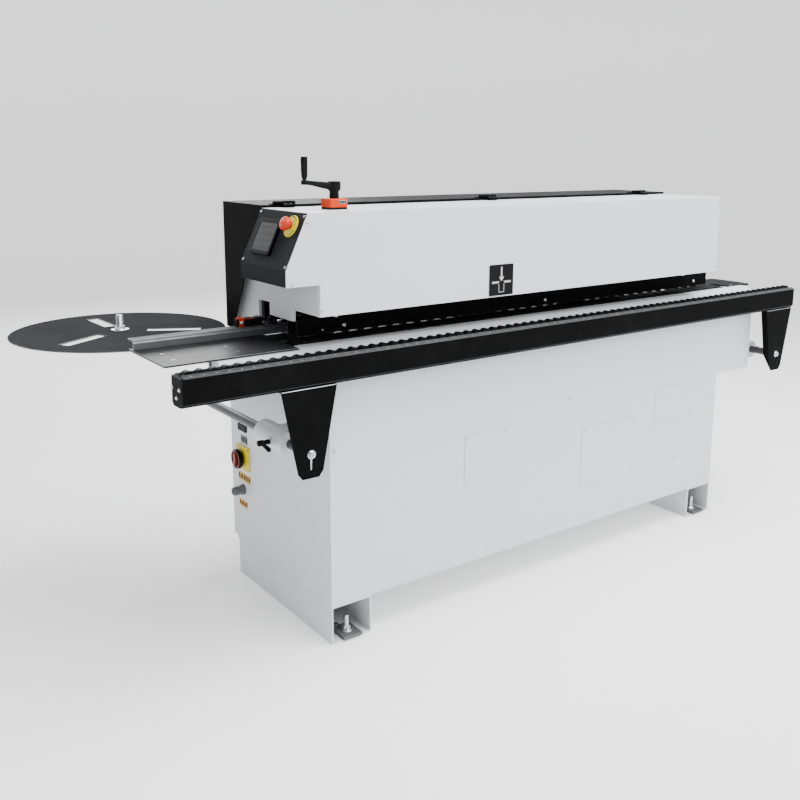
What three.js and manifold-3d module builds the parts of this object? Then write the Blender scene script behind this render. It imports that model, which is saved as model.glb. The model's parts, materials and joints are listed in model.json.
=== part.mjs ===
// Edge banding machine, in millimetres with +Z up.
// Panels travel along +X, the operator stands at -Y, and the floor is Z = 0.
// Inside the machine group, X = 0 is the left end of the cabinet and Y = 0 is its front.
import * as THREE from 'three';
import { mergeVertices } from 'three/addons/utils/BufferGeometryUtils.js';
import Module from 'manifold-3d';

const wasm = await Module();
wasm.setup();

// ---------------------------------------------------------------- driving dimensions
const gap = 0.3; // clearance between pieces that touch
const runningGap = 0.5; // radial clearance of shafts, tubes and screws
const roundSides = 32;
const smallSides = 20;

const cabinet = { length: 1882, depth: 676, height: 475, wall: 4, toeDepth: 26, toeHeight: 13 };
const foot = { width: 146, height: 126, length: cabinet.depth - 36, wall: 6 };
const apron = { length: cabinet.length + 217, height: 256, wall: 4, frameWidth: 40 };
const bed = { thickness: 15, guideWidth: 42, windowMargin: 14 };
const table = { height: 78, width: 62, bevelDrop: 40, bevelWidth: 34, overhang: 337 };
const cover = { thickness: 2, lap: 14 };
const accessLeft = { left: 520, right: 709, bottom: 406, top: 583 };
const accessUpper = { left: cabinet.length - 390, right: cabinet.length - 152, bottom: 458, top: 593 };
const accessLower = {
  left: cabinet.length - 801, right: cabinet.length - 239, bottom: 278, top: 508,
  stepX: cabinet.length - 507, stepTop: 443,
};

const track = {
  front: 66, width: 80, proud: 3, outerRadius: 70, thickness: 28, left: -25, right: apron.length - 144,
};
const sprocket = { width: 52, teeth: 12, toothDepth: 6, shaftRadius: 10, idlerShaftRadius: 12 };
const gearbox = { length: 110, depth: 130, below: 77, above: 47, motorRadius: 58, motorLength: 130 };

const infeed = { left: -484, right: -82, front: 27, back: 292, thickness: 6 };
const infeedSupport = { left: -420, front: 156, back: 250, thickness: 12, webDrop: 130, foot: 8 };
const outfeed = {
  left: track.right - 29, right: apron.length + 83, frontLeft: track.right + 81,
  front: track.front, inner: 152, back: 265, corner: 18,
};
const panelLine = 255; // Y of the panel edge that gets banded
const fence = { height: 30, depth: 45, wall: 8, right: 40 };
const fenceGauge = { left: -159, right: -73, depth: 30, height: 27 };
const fenceKnob = { x: -42, radius: 12, length: 18, stem: 5 };

const hood = {
  opening: 99, height: 291, front: -57, back: 217, right: cabinet.length - 134, sheet: 2.5, flange: 20,
};
const housing = { topLeft: -94, left: -165, foldDrop: 154, notchDrop: 200, innerLeft: -59 };
const guard = { passageFront: 98, passageTop: 64, notchFront: 241, notchBack: 312, notchTop: 103 };
const guardBack = { top: 394, bottom: 478, drop: 15, flange: 8 };
const rearCover = {
  left: -92, front: hood.back + 2, back: 482, lift: 8, drop: 4, slopeTop: 336, slopeBottom: 432,
};
const hinge = {
  length: 72, fixedLength: 32, radius: 5.5, pinRadius: 3, rise: 5, leaf: 30, leafThickness: 2.5,
  first: -15, last: hood.right - 153, count: 3,
};

const controlPanel = { thickness: 3 };
const screen = { y: 118, drop: 84, width: 120, height: 106, depth: 9 };
const stopButton = {
  y: 2.5, drop: 42.4, ring: 32, ringHeight: 5, stem: 9, head: 19, height: 34, travel: 5,
};

const beam = {
  left: -50, right: hood.right + 153, front: 97, depth: 53, height: 49, clearance: 14, lift: 40,
};
const beamLug = { width: 64, top: 84, nutDrop: 40 };
const screw = {
  x: 62, y: 60, rightX: hood.right - 56, radius: 8, collar: 16, collarHeight: 12, sprocket: 30,
};
const upperFrame = {
  bottom: 210, thickness: 15, back: rearCover.back - 8, left: -50, right: hood.right - 8, frontEdge: 158,
};
const upperColumn = { width: 60, depth: 60 };
const indicator = { width: 60, depth: 54, height: 31 };
const crank = {
  lowerHub: 14, lowerHubHeight: 21, hub: 19.5, hubHeight: 28, reach: 98, arm: 16, armHeight: 13,
};
const grip = { radius: 10, length: 66, neck: 7 };

const rail = {
  left: infeed.left + 2, right: apron.length + 183, front: -78, depth: 60, height: 82, wall: 4,
  drop: 12, chamfer: 8,
};
const roller = { pitch: 36.1, radius: 15, width: 36, carrierDrop: 24 };
const leg = {
  leftX: -108, rightX: apron.length + 88, topHalf: 90, lowHalf: 41, toeHalf: 27, toe: 18,
  height: 265, depth: 50, flange: 28, flangeCut: 71,
};
const legSheet = 3;
const tube = {
  leftX: -105, rightX: leg.rightX, drop: 289, radius: 15, wall: 3, back: cabinet.depth - 53,
};
const sleeve = { radius: tube.radius + 22, front: 45, back: 213, footWidth: 80, footThickness: 8, web: 30 };
const clampLever = {
  y: 103, boss: 13, bossHeight: 3, stud: 5.5, hub: 8, hubLength: 38, arm: 5.5, armLength: 58,
};

const coil = { x: -392, radius: 330, thickness: 3, drop: 10, supportGap: 50 };
const coilSlot = { count: 3, inner: 85, outer: coil.radius - 80, width: 36, firstAngle: 92 };
const coilSpindle = { radius: 11, washer: 28, washerHeight: 4, height: 50 };
const coilArm = { width: 40, height: 26, overshoot: 30, boss: 26 };

const mainSwitch = { y: cabinet.depth - 86, z: 447, radius: 29, depth: 34 };
const gland = { y: mainSwitch.y, z: 330, nut: 17, body: 13, length: 42, hole: 6 };

const gluePot = { left: 75, right: 190, front: 302, back: 430, height: 120, lip: 55 };
const glueRoller = { x: 130, radius: 18, height: 75 };
const pressRoller = { x: 265, radius: 40, height: 70, axle: 10 };
const endTrim = { left: 470, right: 610, front: 262, back: 430, motor: 42, saw: 50 };
const edgeTrim = { left: 860, right: 1000, front: 330, back: 460, motor: 42, cutter: 30 };
const buffer = {
  x: hood.right - 298, y: 400, motor: 48, motorLength: 190, wheel: 60, wheelWidth: 40, shaft: 9,
};

// ---------------------------------------------------------------- derived levels and lines
const seam = foot.height + cabinet.height;
const bedBottom = seam + apron.height;
const bedTop = bedBottom + bed.thickness;
const tableTop = bedTop + table.height;
const hoodBottom = tableTop + hood.opening;
const hoodTop = hoodBottom + hood.height;
const trackTop = tableTop + track.proud;
const trackBack = track.front + track.width;
const trackAxis = trackTop - track.outerRadius;
const trackInnerRadius = track.outerRadius - track.thickness;
const infeedTop = tableTop;
const infeedBottom = infeedTop - infeed.thickness;
const foldLevel = hoodTop - housing.foldDrop;
const notchLevel = hoodTop - housing.notchDrop;
const coverBottom = tableTop - rearCover.drop;
const coverTop = hoodTop + rearCover.lift;
const railTop = tableTop - rail.drop;
const railBottom = railTop - rail.height;
const railBack = rail.front + rail.depth;
const tubeLevel = tableTop - tube.drop;
const coilTop = tableTop - coil.drop;
const coilBottom = coilTop - coil.thickness;
const coilY = infeedSupport.back + coil.supportGap + coil.radius;
const hingePlaces = Array.from({ length: hinge.count },
  (_, i) => hinge.first + ((hinge.last - hinge.first) * i) / (hinge.count - 1));
const hingeAxis = { y: rearCover.front + 3, z: coverTop + hinge.rise };
const frameBottom = tableTop + upperFrame.bottom;
const frameTop = frameBottom + upperFrame.thickness;

// ---------------------------------------------------------------- shape helpers
const axes = {
  x: new THREE.Matrix4().makeBasis(
    new THREE.Vector3(0, 1, 0), new THREE.Vector3(0, 0, 1), new THREE.Vector3(1, 0, 0)),
  y: new THREE.Matrix4().makeBasis(
    new THREE.Vector3(1, 0, 0), new THREE.Vector3(0, 0, 1), new THREE.Vector3(0, -1, 0)),
  z: new THREE.Matrix4(),
};

function block(x0, x1, y0, y1, z0, z1) {
  const box = new THREE.BoxGeometry(x1 - x0, y1 - y0, z1 - z0);
  return box.translate((x0 + x1) / 2, (y0 + y1) / 2, (z0 + z1) / 2);
}

function outlineShape(points) {
  return new THREE.Shape(points.map(([a, b]) => new THREE.Vector2(a, b)));
}

// An outline swept along one axis: (y, z) points along x, (x, z) along y, (x, y) along z.
function prism(axis, outline, from, to, holes = []) {
  const shape = outline instanceof THREE.Shape ? outline : outlineShape(outline);
  shape.holes.push(...holes.map((hole) => new THREE.Path(hole.map(([a, b]) => new THREE.Vector2(a, b)))));
  const depth = to - from;
  const solid = new THREE.ExtrudeGeometry(shape, { depth, bevelEnabled: false, curveSegments: 6 });
  solid.applyMatrix4(axes[axis]);
  const start = { x: [from, 0, 0], y: [0, to, 0], z: [0, 0, from] }[axis];
  return solid.translate(...start);
}

function circle(a, b, radius, sides = roundSides) {
  return Array.from({ length: sides }, (_, i) => {
    const angle = (2 * Math.PI * i) / sides;
    return [a + radius * Math.cos(angle), b + radius * Math.sin(angle)];
  });
}

function rectangle(a0, a1, b0, b1) {
  return [[a0, b0], [a1, b0], [a1, b1], [a0, b1]];
}

function rod(axis, a, b, radius, from, to, sides = roundSides) {
  return prism(axis, circle(a, b, radius, sides), from, to);
}

// A profile of (radius, height) points turned about a vertical line through (x, y).
function turned(profile, x, y, sides = smallSides) {
  const points = profile.map(([radius, height]) => new THREE.Vector2(radius, height));
  return new THREE.LatheGeometry(points, sides).rotateX(Math.PI / 2).translate(x, y, 0);
}

function bare(geometry) {
  const copy = geometry.clone();
  copy.deleteAttribute('normal');
  copy.deleteAttribute('uv');
  return mergeVertices(copy, 1e-4);
}

function toManifold(geometry) {
  const merged = bare(geometry);
  const vertProperties = new Float32Array(merged.attributes.position.array);
  const triVerts = new Uint32Array(merged.index.array);
  const solid = new wasm.Manifold(new wasm.Mesh({ numProp: 3, vertProperties, triVerts }));
  if (solid.volume() > 0) return solid;
  for (let i = 0; i < triVerts.length; i += 3) {
    [triVerts[i], triVerts[i + 1]] = [triVerts[i + 1], triVerts[i]];
  }
  return new wasm.Manifold(new wasm.Mesh({ numProp: 3, vertProperties, triVerts }));
}

function toGeometry(solid) {
  const mesh = solid.getMesh();
  const geometry = new THREE.BufferGeometry();
  geometry.setAttribute('position', new THREE.BufferAttribute(new Float32Array(mesh.vertProperties), 3));
  geometry.setIndex(new THREE.BufferAttribute(new Uint32Array(mesh.triVerts), 1));
  geometry.computeVertexNormals();
  return geometry;
}

function join(...pieces) {
  const solids = pieces.map(toManifold);
  return toGeometry(solids.reduce((whole, piece) => whole.add(piece)));
}

function cut(base, ...tools) {
  const solids = tools.map(toManifold);
  return toGeometry(solids.reduce((whole, tool) => whole.subtract(tool), toManifold(base)));
}

// ---------------------------------------------------------------- finishes
function finish(color, roughness, metalness) {
  return () => new THREE.MeshStandardMaterial({ color, roughness, metalness });
}
const whitePaint = finish(0xd6d8db, 0.5, 0.05);
const blackPaint = finish(0x17181a, 0.45, 0.1);
const greyPlate = finish(0x55575b, 0.5, 0.5);
const panelGrey = finish(0x303236, 0.5, 0.1);
const steel = finish(0xb9bcc0, 0.3, 0.9);
const castIron = finish(0x6d7074, 0.6, 0.4);
const aluminium = finish(0x9da1a6, 0.4, 0.8);
const rubber = finish(0x1b1b1c, 0.85, 0);
const blackPlastic = finish(0x1c1c1e, 0.5, 0);
const orangePlastic = finish(0xd8603a, 0.5, 0);
const redPlastic = finish(0xd94a38, 0.45, 0);
const yellowPlastic = finish(0xd9cf55, 0.5, 0);
const greyPlastic = finish(0x84878b, 0.6, 0);
const motorGrey = finish(0x5d646c, 0.5, 0.4);

const machine = new THREE.Group();

function part(name, geometry, material, parent = machine) {
  const mesh = new THREE.Mesh(bare(geometry), material());
  mesh.geometry.computeVertexNormals();
  mesh.name = name;
  parent.add(mesh);
  return mesh;
}

// ---------------------------------------------------------------- feet and cabinet
function makeFoot(name, left) {
  const outer = rectangle(left, left + foot.width, 0, foot.height);
  const inner = rectangle(left + foot.wall, left + foot.width - foot.wall,
    foot.wall, foot.height - foot.wall);
  part(name, prism('y', outer, 0, foot.length, [inner]), whitePaint);
}

function accessOutline(access, margin) {
  return rectangle(access.left + margin, access.right - margin,
    access.bottom + margin, access.top - margin);
}

function lowerAccessOutline(margin) {
  const { left, right, bottom, top, stepX, stepTop } = accessLower;
  return [
    [left + margin, bottom + margin], [right - margin, bottom + margin],
    [right - margin, stepTop - margin], [stepX - margin, stepTop - margin],
    [stepX - margin, top - margin], [left + margin, top - margin],
  ];
}

function makeCabinet() {
  const { length, depth, wall, toeDepth, toeHeight } = cabinet;
  const bottom = foot.height + gap;
  const outer = block(0, length, 0, depth, bottom, seam);
  const hollow = block(wall, length - wall, wall, depth + wall, bottom + wall, seam + wall);
  const toe = block(-wall, length + wall, depth - toeDepth, depth + wall,
    bottom - wall, bottom + toeHeight);
  const openings = [
    prism('y', accessOutline(accessLeft, cover.lap), -wall, 2 * wall),
    prism('y', accessOutline(accessUpper, cover.lap), -wall, 2 * wall),
    prism('y', lowerAccessOutline(cover.lap), -wall, 2 * wall),
  ];
  part('lower_cabinet', cut(outer, hollow, toe, ...openings), whitePaint);
}

function makeAccessCovers() {
  const from = -gap - cover.thickness;
  const to = -gap;
  part('access_cover_left', prism('y', accessOutline(accessLeft, 0), from, to), whitePaint);
  part('access_cover_upper', prism('y', accessOutline(accessUpper, 0), from, to), whitePaint);
  const corner = block(accessUpper.left - gap, accessLower.right + gap,
    from - 1, to + 1, accessUpper.bottom - gap, accessLower.top + gap);
  part('access_cover_lower', cut(prism('y', lowerAccessOutline(0), from, to), corner), whitePaint);
  const side = cabinet.wall + gap;
  const low = foot.height + gap + cabinet.toeHeight + gap;
  part('rear_panel',
    block(side, cabinet.length - side, cabinet.depth - cabinet.wall, cabinet.depth, low, seam - gap),
    whitePaint);
}

function makeApron() {
  const { length, wall, frameWidth } = apron;
  const bottom = seam + gap;
  const top = bedBottom - gap;
  const outer = block(0, length, 0, cabinet.depth, bottom, top);
  const hollow = block(wall, length - wall, wall, cabinet.depth - wall, bottom + wall, top + wall);
  const well = block(frameWidth, cabinet.length - frameWidth, frameWidth,
    cabinet.depth - frameWidth, bottom - wall, bottom + 2 * wall);
  const chainWindow = block(-wall, 2 * wall, track.front - 6, trackBack + 6,
    trackAxis - track.outerRadius - 8, top + wall);
  part('apron', cut(outer, hollow, well, chainWindow), whitePaint);
}

// ---------------------------------------------------------------- bed, table and feed
function makeBed() {
  const plate = block(0, apron.length, 0, cabinet.depth, bedBottom, bedTop);
  const front = track.front - 6;
  const back = trackBack + 6;
  const leftWindow = block(-1, track.left + track.outerRadius + bed.windowMargin,
    front, back, bedBottom - 1, bedTop + 1);
  const rightWindow = block(track.right - track.outerRadius - bed.windowMargin,
    track.right + track.outerRadius + bed.windowMargin, front, back, bedBottom - 1, bedTop + 1);
  const gearWindow = block(track.right - gearbox.length / 2 - 4, track.right + gearbox.length / 2 + 4,
    trackBack, trackBack + gearbox.depth + 22, bedBottom - 1, bedTop + 1);
  const middle = (track.front + trackBack) / 2;
  const guide = block(track.left + track.outerRadius + 30, track.right - track.outerRadius - 30,
    middle - bed.guideWidth / 2, middle + bed.guideWidth / 2, bedTop - 1, trackTop - track.thickness - gap);
  const outfeedPost = block(apron.length - 60, apron.length, outfeed.inner + 8, outfeed.back - 20,
    bedTop - 1, infeedBottom - gap);
  part('bed_plate', join(cut(plate, leftWindow, rightWindow, gearWindow), guide, outfeedPost), castIron);
}

function makeTable() {
  const { width, bevelDrop, bevelWidth, overhang } = table;
  const low = bedTop + gap;
  const section = new THREE.Shape();
  section.moveTo(0, low);
  section.lineTo(width, low);
  section.lineTo(width, tableTop);
  section.lineTo(bevelWidth, tableTop);
  section.quadraticCurveTo(bevelWidth * 0.35, tableTop, 0, tableTop - bevelDrop);
  const strip = prism('x', section, -overhang, apron.length);
  const rebate = block(-overhang - 1, infeed.right + gap, -1, width + 1, infeedBottom - gap, tableTop + 1);
  part('table_strip', cut(strip, rebate), whitePaint);
}

function makeTrack() {
  const loop = (radius) => {
    const ring = new THREE.Shape();
    ring.absarc(track.right, trackAxis, radius, -Math.PI / 2, Math.PI / 2, false);
    ring.absarc(track.left, trackAxis, radius, Math.PI / 2, 1.5 * Math.PI, false);
    return ring.getPoints(12).map((p) => [p.x, p.y]).slice(0, -1);
  };
  const ring = prism('y', loop(track.outerRadius), track.front, trackBack, [loop(trackInnerRadius)]);
  part('feed_track', ring, rubber);
}

function makeSprocket(name, x, shaftRadius, shaftEnd) {
  const middle = (track.front + trackBack) / 2;
  const outer = trackInnerRadius - runningGap;
  const teeth = Array.from({ length: sprocket.teeth * 4 }, (_, i) => {
    const angle = (2 * Math.PI * i) / (sprocket.teeth * 4);
    const radius = i % 4 < 2 ? outer : outer - sprocket.toothDepth;
    return [x + radius * Math.cos(angle), trackAxis + radius * Math.sin(angle)];
  });
  const wheel = prism('y', teeth, middle - sprocket.width / 2, middle + sprocket.width / 2);
  const shaft = rod('y', x, trackAxis, shaftRadius, table.width + runningGap, shaftEnd, smallSides);
  part(name, join(wheel, shaft), steel);
}

function makeGearmotor() {
  const { length, depth, below, above, motorRadius, motorLength } = gearbox;
  const front = trackBack + 12;
  const x0 = track.right - length / 2;
  const middle = front + depth / 2;
  const box = block(x0, x0 + length, front, front + depth, trackAxis - below - 26, trackAxis + above);
  const flange = block(x0 - 18, x0 + length + 18, front - 4, front + depth + 26, bedTop + gap, bedTop + 9);
  const motorTop = trackAxis - below - 25;
  const motor = rod('z', track.right, middle, motorRadius, motorTop - motorLength, motorTop);
  const bore = rod('y', track.right, trackAxis, sprocket.shaftRadius + runningGap,
    front - 6, middle + 1, smallSides);
  part('feed_gearmotor', cut(join(box, flange, motor), bore), motorGrey);
}

// ---------------------------------------------------------------- infeed and outfeed
function makeInfeed() {
  const { left, right, front, back } = infeed;
  part('infeed_plate', block(left, right, front, back, infeedBottom, infeedTop), greyPlate);
  const s = infeedSupport;
  const top = infeedBottom - gap;
  const shelf = block(s.left, -gap, s.front, s.back, top - s.thickness, top);
  const web = prism('y', [[s.left, top - 2], [-gap - 1, top - s.webDrop], [-gap - 1, top - 2]],
    s.front + 32, s.front + 32 + s.thickness);
  const flange = block(-gap - s.foot, -gap, s.front, s.back, top - s.webDrop - 10, top);
  part('infeed_support', join(shelf, web, flange), castIron);
  const o = outfeed;
  const plate = [[o.frontLeft, o.front], [o.right - o.corner, o.front], [o.right, o.front + o.corner],
    [o.right, o.back], [o.left, o.back], [o.left, o.inner], [o.frontLeft, o.inner]];
  part('outfeed_plate', prism('z', plate, infeedBottom, infeedTop), blackPaint);
}

function makeFence() {
  const low = infeedTop + gap;
  const top = low + fence.height;
  const inner = panelLine + fence.wall;
  const back = panelLine + fence.depth;
  const section = [[panelLine, low], [inner, low], [inner, top - fence.wall], [back, top - fence.wall],
    [back, top], [inner, top], [panelLine, top - fence.wall]];
  part('infeed_fence', prism('x', section, infeed.left, fence.right), aluminium);
  const base = top + gap;
  part('fence_indicator', block(fenceGauge.left, fenceGauge.right, inner, inner + fenceGauge.depth,
    base, base + fenceGauge.height), orangePlastic);
  const k = fenceKnob;
  const axisLevel = base + k.radius + 1;
  const headEnd = inner + k.length;
  const head = rod('y', k.x, axisLevel, k.radius, inner, headEnd, smallSides);
  const stem = rod('y', k.x, axisLevel, k.stem, headEnd - 1, headEnd + 12, smallSides);
  part('fence_knob', join(head, stem), blackPlastic);
}

// ---------------------------------------------------------------- hood, guard and controls
function makeHood() {
  const { front, back, right, sheet, flange } = hood;
  const outline = [[housing.innerLeft, hoodBottom], [right, hoodBottom], [right, hoodTop],
    [housing.topLeft, hoodTop], [housing.left, foldLevel], [housing.left, notchLevel],
    [housing.innerLeft, notchLevel]];
  const wall = prism('y', outline, front, front + sheet);
  const roof = block(panelTop.x + gap, right, front, back, hoodTop - sheet, hoodTop);
  const end = block(right - sheet, right, front, back, hoodBottom, hoodTop);
  const beamWindow = block(right - 2 * sheet, right + 1, beam.front - 8, beam.front + beam.depth + 8,
    hoodBottom - 1, tableTop + beam.clearance + beam.height + beam.lift + 12);
  const hem = block(housing.innerLeft, right, front, front + flange, hoodBottom, hoodBottom + sheet);
  const lip = block(panelTop.x + gap, right, back - sheet, back, hoodTop - flange, hoodTop);
  const screwHole = rod('z', screw.x, screw.y, screw.radius + 2, hoodTop - 10, hoodTop + 10, smallSides);
  part('front_hood', cut(join(wall, roof, end, hem, lip), beamWindow, screwHole), whitePaint);
}

function makeGuard() {
  const right = housing.innerLeft - gap;
  const left = right - hood.sheet;
  const front = hood.front + hood.sheet + gap;
  const top = notchLevel - gap;
  const edge = tableTop + guard.passageTop;
  const notch = tableTop + guard.notchTop;
  const low = tableTop + guardBack.drop;
  const outline = [
    [front, hoodBottom], [guard.passageFront, hoodBottom], [guard.passageFront, edge],
    [guard.notchFront, edge], [guard.notchFront, notch], [guard.notchBack, notch],
    [guard.notchBack, low], [guardBack.bottom, low], [guardBack.top, top], [front, top],
  ];
  const sheet = prism('x', outline, left, right);
  const frontLip = block(left, right + guardBack.flange, guard.passageFront,
    guard.passageFront + hood.sheet, edge, hoodBottom);
  const notchLip = block(left, right + guardBack.flange, guard.notchBack,
    guard.notchBack + hood.sheet, low, notch);
  part('infeed_guard', join(sheet, frontLip, notchLip), whitePaint);
}

// The slanted control panel runs from its top edge down to the fold.
const slope = new THREE.Vector2(housing.left - housing.topLeft, foldLevel - hoodTop);
const slopeLength = slope.length();
const down = slope.clone().normalize();
const outward = new THREE.Vector2(down.y, -down.x);
const panelTop = new THREE.Vector2(housing.topLeft, hoodTop)
  .addScaledVector(outward, -controlPanel.thickness);
const panelFront = hood.front + hood.sheet + gap;

// Local axes of the control panel: x along the machine's depth, y down the slope, z outwards.
const controls = new THREE.Group();
controls.position.set(housing.topLeft, 0, hoodTop);
controls.quaternion.setFromRotationMatrix(new THREE.Matrix4().makeBasis(
  new THREE.Vector3(0, 1, 0), new THREE.Vector3(down.x, 0, down.y),
  new THREE.Vector3(outward.x, 0, outward.y)));
machine.add(controls);

function makeHousing() {
  const sheet = hood.sheet;
  const head = panelTop.clone().addScaledVector(outward, -gap).addScaledVector(down, hood.flange + 4);
  const heel = new THREE.Vector2(housing.left, foldLevel)
    .addScaledVector(outward, -controlPanel.thickness - gap);
  const right = housing.innerLeft - gap;
  const floor = block(housing.left, right, panelFront, hood.back, notchLevel, notchLevel + sheet);
  const lip = block(housing.left, housing.left + sheet, panelFront, hood.back, notchLevel, foldLevel - 6);
  const back = prism('y', [[housing.left, notchLevel], [right, notchLevel], [right, head.y],
    [head.x, head.y], [heel.x, heel.y], [housing.left, foldLevel - 6]], hood.back - sheet, hood.back);
  part('control_housing', join(floor, lip, back), blackPaint);
}

function makeControls() {
  const t = controlPanel.thickness;
  const button = stopButton;
  const plate = block(panelFront, hood.back, 0, slopeLength, -t, 0);
  const hole = rod('z', button.y, button.drop, button.stem + runningGap, -t - 1, 1, smallSides);
  part('control_panel', cut(plate, hole), panelGrey, controls);
  const screenBody = block(screen.y - screen.width / 2, screen.y + screen.width / 2,
    screen.drop - screen.height / 2, screen.drop + screen.height / 2, gap, gap + screen.depth);
  part('touch_screen', screenBody, blackPlastic, controls);
  const bore = button.stem + runningGap;
  const ring = turned([[bore, gap], [button.ring, gap], [button.ring - 2, gap + button.ringHeight],
    [bore, gap + button.ringHeight], [bore, gap]], button.y, button.drop, roundSides);
  part('stop_button_ring', ring, yellowPlastic, controls);
  const under = gap + button.ringHeight + button.travel + 3;
  const stem = button.stem;
  const mushroom = turned([[0, -t - 4], [stem, -t - 4], [stem, under], [button.head, under + 3],
    [button.head, button.height - 7], [button.head * 0.75, button.height - 1], [0, button.height]],
  button.y, button.drop, roundSides);
  part('stop_button', mushroom, redPlastic, controls);
}

// ---------------------------------------------------------------- rear cover and its hinges
function makeRearCover() {
  const { left, front, back, slopeTop, slopeBottom } = rearCover;
  const sheet = hood.sheet;
  const right = hood.right;
  const side = [[front, notchLevel], [slopeTop, notchLevel], [slopeBottom, coverBottom],
    [back, coverBottom], [back, coverTop], [front, coverTop]];
  const shell = [
    block(left, right, front, back, coverTop - sheet, coverTop),
    block(left, right, back - sheet, back, coverBottom, coverTop),
    block(left, right, front, front + sheet, coverTop - hood.flange, coverTop),
    prism('x', side, left, left + sheet),
    prism('x', side, right - sheet, right),
  ];
  const knuckle = (hinge.length - hinge.fixedLength) / 2 - 1;
  const knuckles = hingePlaces.flatMap((x) => [-1, 1].flatMap((end) => {
    const middle = x + (end * (hinge.length - knuckle)) / 2;
    const leaf = block(middle - knuckle / 2, middle + knuckle / 2, hingeAxis.y,
      hingeAxis.y + hinge.leaf, coverTop - 1, coverTop + hinge.leafThickness);
    const barrel = rod('x', hingeAxis.y, hingeAxis.z, hinge.radius,
      middle - knuckle / 2, middle + knuckle / 2, smallSides);
    return [leaf, barrel];
  }));
  const pins = hingePlaces.map((x) => rod('x', hingeAxis.y, hingeAxis.z, hinge.pinRadius + runningGap,
    x - hinge.length, x + hinge.length, smallSides));
  const pockets = hingePlaces.map((x) => block(x - hinge.fixedLength / 2 - 1, x + hinge.fixedLength / 2 + 1,
    front - 1, hingeAxis.y + hinge.radius + 1, coverTop - hinge.radius, hingeAxis.z));
  part('rear_cover', cut(join(...shell, ...knuckles), ...pins, ...pockets), blackPaint);
}

function makeHinge(name, x) {
  const half = hinge.fixedLength / 2;
  const leaf = block(x - half, x + half, hood.back - hinge.leaf, rearCover.front - gap,
    hoodTop + gap, hingeAxis.z - hinge.radius / 2);
  const barrel = rod('x', hingeAxis.y, hingeAxis.z, hinge.radius, x - half, x + half, smallSides);
  const pin = rod('x', hingeAxis.y, hingeAxis.z, hinge.pinRadius,
    x - hinge.length / 2 - 2, x + hinge.length / 2 + 2, smallSides);
  part(name, join(leaf, barrel, pin), blackPaint);
}

// ---------------------------------------------------------------- height setting
function makeUpperFrame() {
  const { back, left, right, frontEdge } = upperFrame;
  const plate = block(left, right, frontEdge, back, frameBottom, frameTop);
  const tongue = (x) => block(x - 42, x + 42, screw.y - 34, frontEdge + 1, frameBottom, frameTop);
  const column = (x) => block(x, x + upperColumn.width, back - upperColumn.depth, back,
    bedTop + gap, frameBottom + 1);
  const bore = (x) => rod('z', x, screw.y, screw.radius + runningGap,
    frameBottom - 1, frameTop + 1, smallSides);
  part('upper_frame', cut(
    join(plate, tongue(screw.x), tongue(screw.rightX), column(left), column(right - upperColumn.width)),
    bore(screw.x), bore(screw.rightX)), castIron);
}

function makePressureBeam() {
  const low = tableTop + beam.clearance + track.proud;
  const top = low + beam.height;
  const back = beam.front + beam.depth;
  const bar = block(beam.left, beam.right, beam.front, back, low, top);
  const lugs = [screw.x, screw.rightX].flatMap((x) => [
    block(x - beamLug.width / 2, x + beamLug.width / 2, beam.front + 3, back, top - 1, top + beamLug.top),
    block(x - beamLug.width / 2, x + beamLug.width / 2, screw.y - 20, beam.front + 4,
      top + beamLug.top - beamLug.nutDrop, top + beamLug.top),
  ]);
  const bores = [screw.x, screw.rightX].map((x) => rod('z', x, screw.y, screw.radius + runningGap,
    top, top + beamLug.top + 1, smallSides));
  part('pressure_beam', cut(join(bar, ...lugs), ...bores), blackPaint);
}

function screwProfile(top) {
  const { radius, collar, collarHeight, sprocket: wheel } = screw;
  const low = tableTop + beam.clearance + track.proud + beam.height + 6;
  return [
    [0, low], [radius, low],
    [radius, frameBottom - gap - collarHeight], [collar, frameBottom - gap - collarHeight],
    [collar, frameBottom - gap], [radius, frameBottom - gap],
    [radius, frameTop + gap], [collar, frameTop + gap],
    [collar, frameTop + gap + collarHeight], [wheel, frameTop + gap + collarHeight],
    [wheel, frameTop + gap + collarHeight + 6], [radius, frameTop + gap + collarHeight + 6],
    [radius, top], [0, top],
  ];
}

function makeHeightSetting() {
  const indicatorTop = hoodTop + gap + indicator.height;
  part('lift_screw_left', turned(screwProfile(indicatorTop), screw.x, screw.y), steel);
  part('lift_screw_right', turned(screwProfile(frameTop + 40), screw.rightX, screw.y), steel);
  const body = block(screw.x - indicator.width / 2, screw.x + indicator.width / 2,
    screw.y - indicator.depth / 2, screw.y + indicator.depth / 2, hoodTop + gap, indicatorTop);
  const bore = rod('z', screw.x, screw.y, screw.radius + runningGap, hoodTop, indicatorTop + 1, smallSides);
  part('height_indicator', cut(body, bore), orangePlastic);
  const low = indicatorTop + gap;
  const top = low + crank.lowerHubHeight + crank.hubHeight;
  const hub = turned([[0, low], [crank.lowerHub, low], [crank.lowerHub, low + crank.lowerHubHeight],
    [crank.hub, low + crank.lowerHubHeight], [crank.hub, top], [0, top]], screw.x, screw.y, roundSides);
  const end = screw.x - crank.reach;
  const armTop = top + 4;
  const arm = prism('y', [[end, armTop - crank.armHeight], [screw.x - 8, top - 24], [screw.x - 8, top - 5],
    [end, armTop]], screw.y - crank.arm / 2, screw.y + crank.arm / 2);
  const boss = rod('z', end, screw.y, crank.arm / 2 + 2, armTop - crank.armHeight - 1, armTop, smallSides);
  part('crank_handle', join(hub, arm, boss), blackPlastic);
  const gripLow = armTop + gap;
  const gripTop = gripLow + grip.length;
  const handle = turned([[0, gripLow], [grip.neck, gripLow], [grip.neck, gripLow + 6],
    [grip.radius - 1, gripLow + 9], [grip.radius, gripTop - 12], [grip.radius - 1.5, gripTop],
    [0, gripTop]], end, screw.y);
  part('crank_grip', handle, blackPlastic);
}

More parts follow.
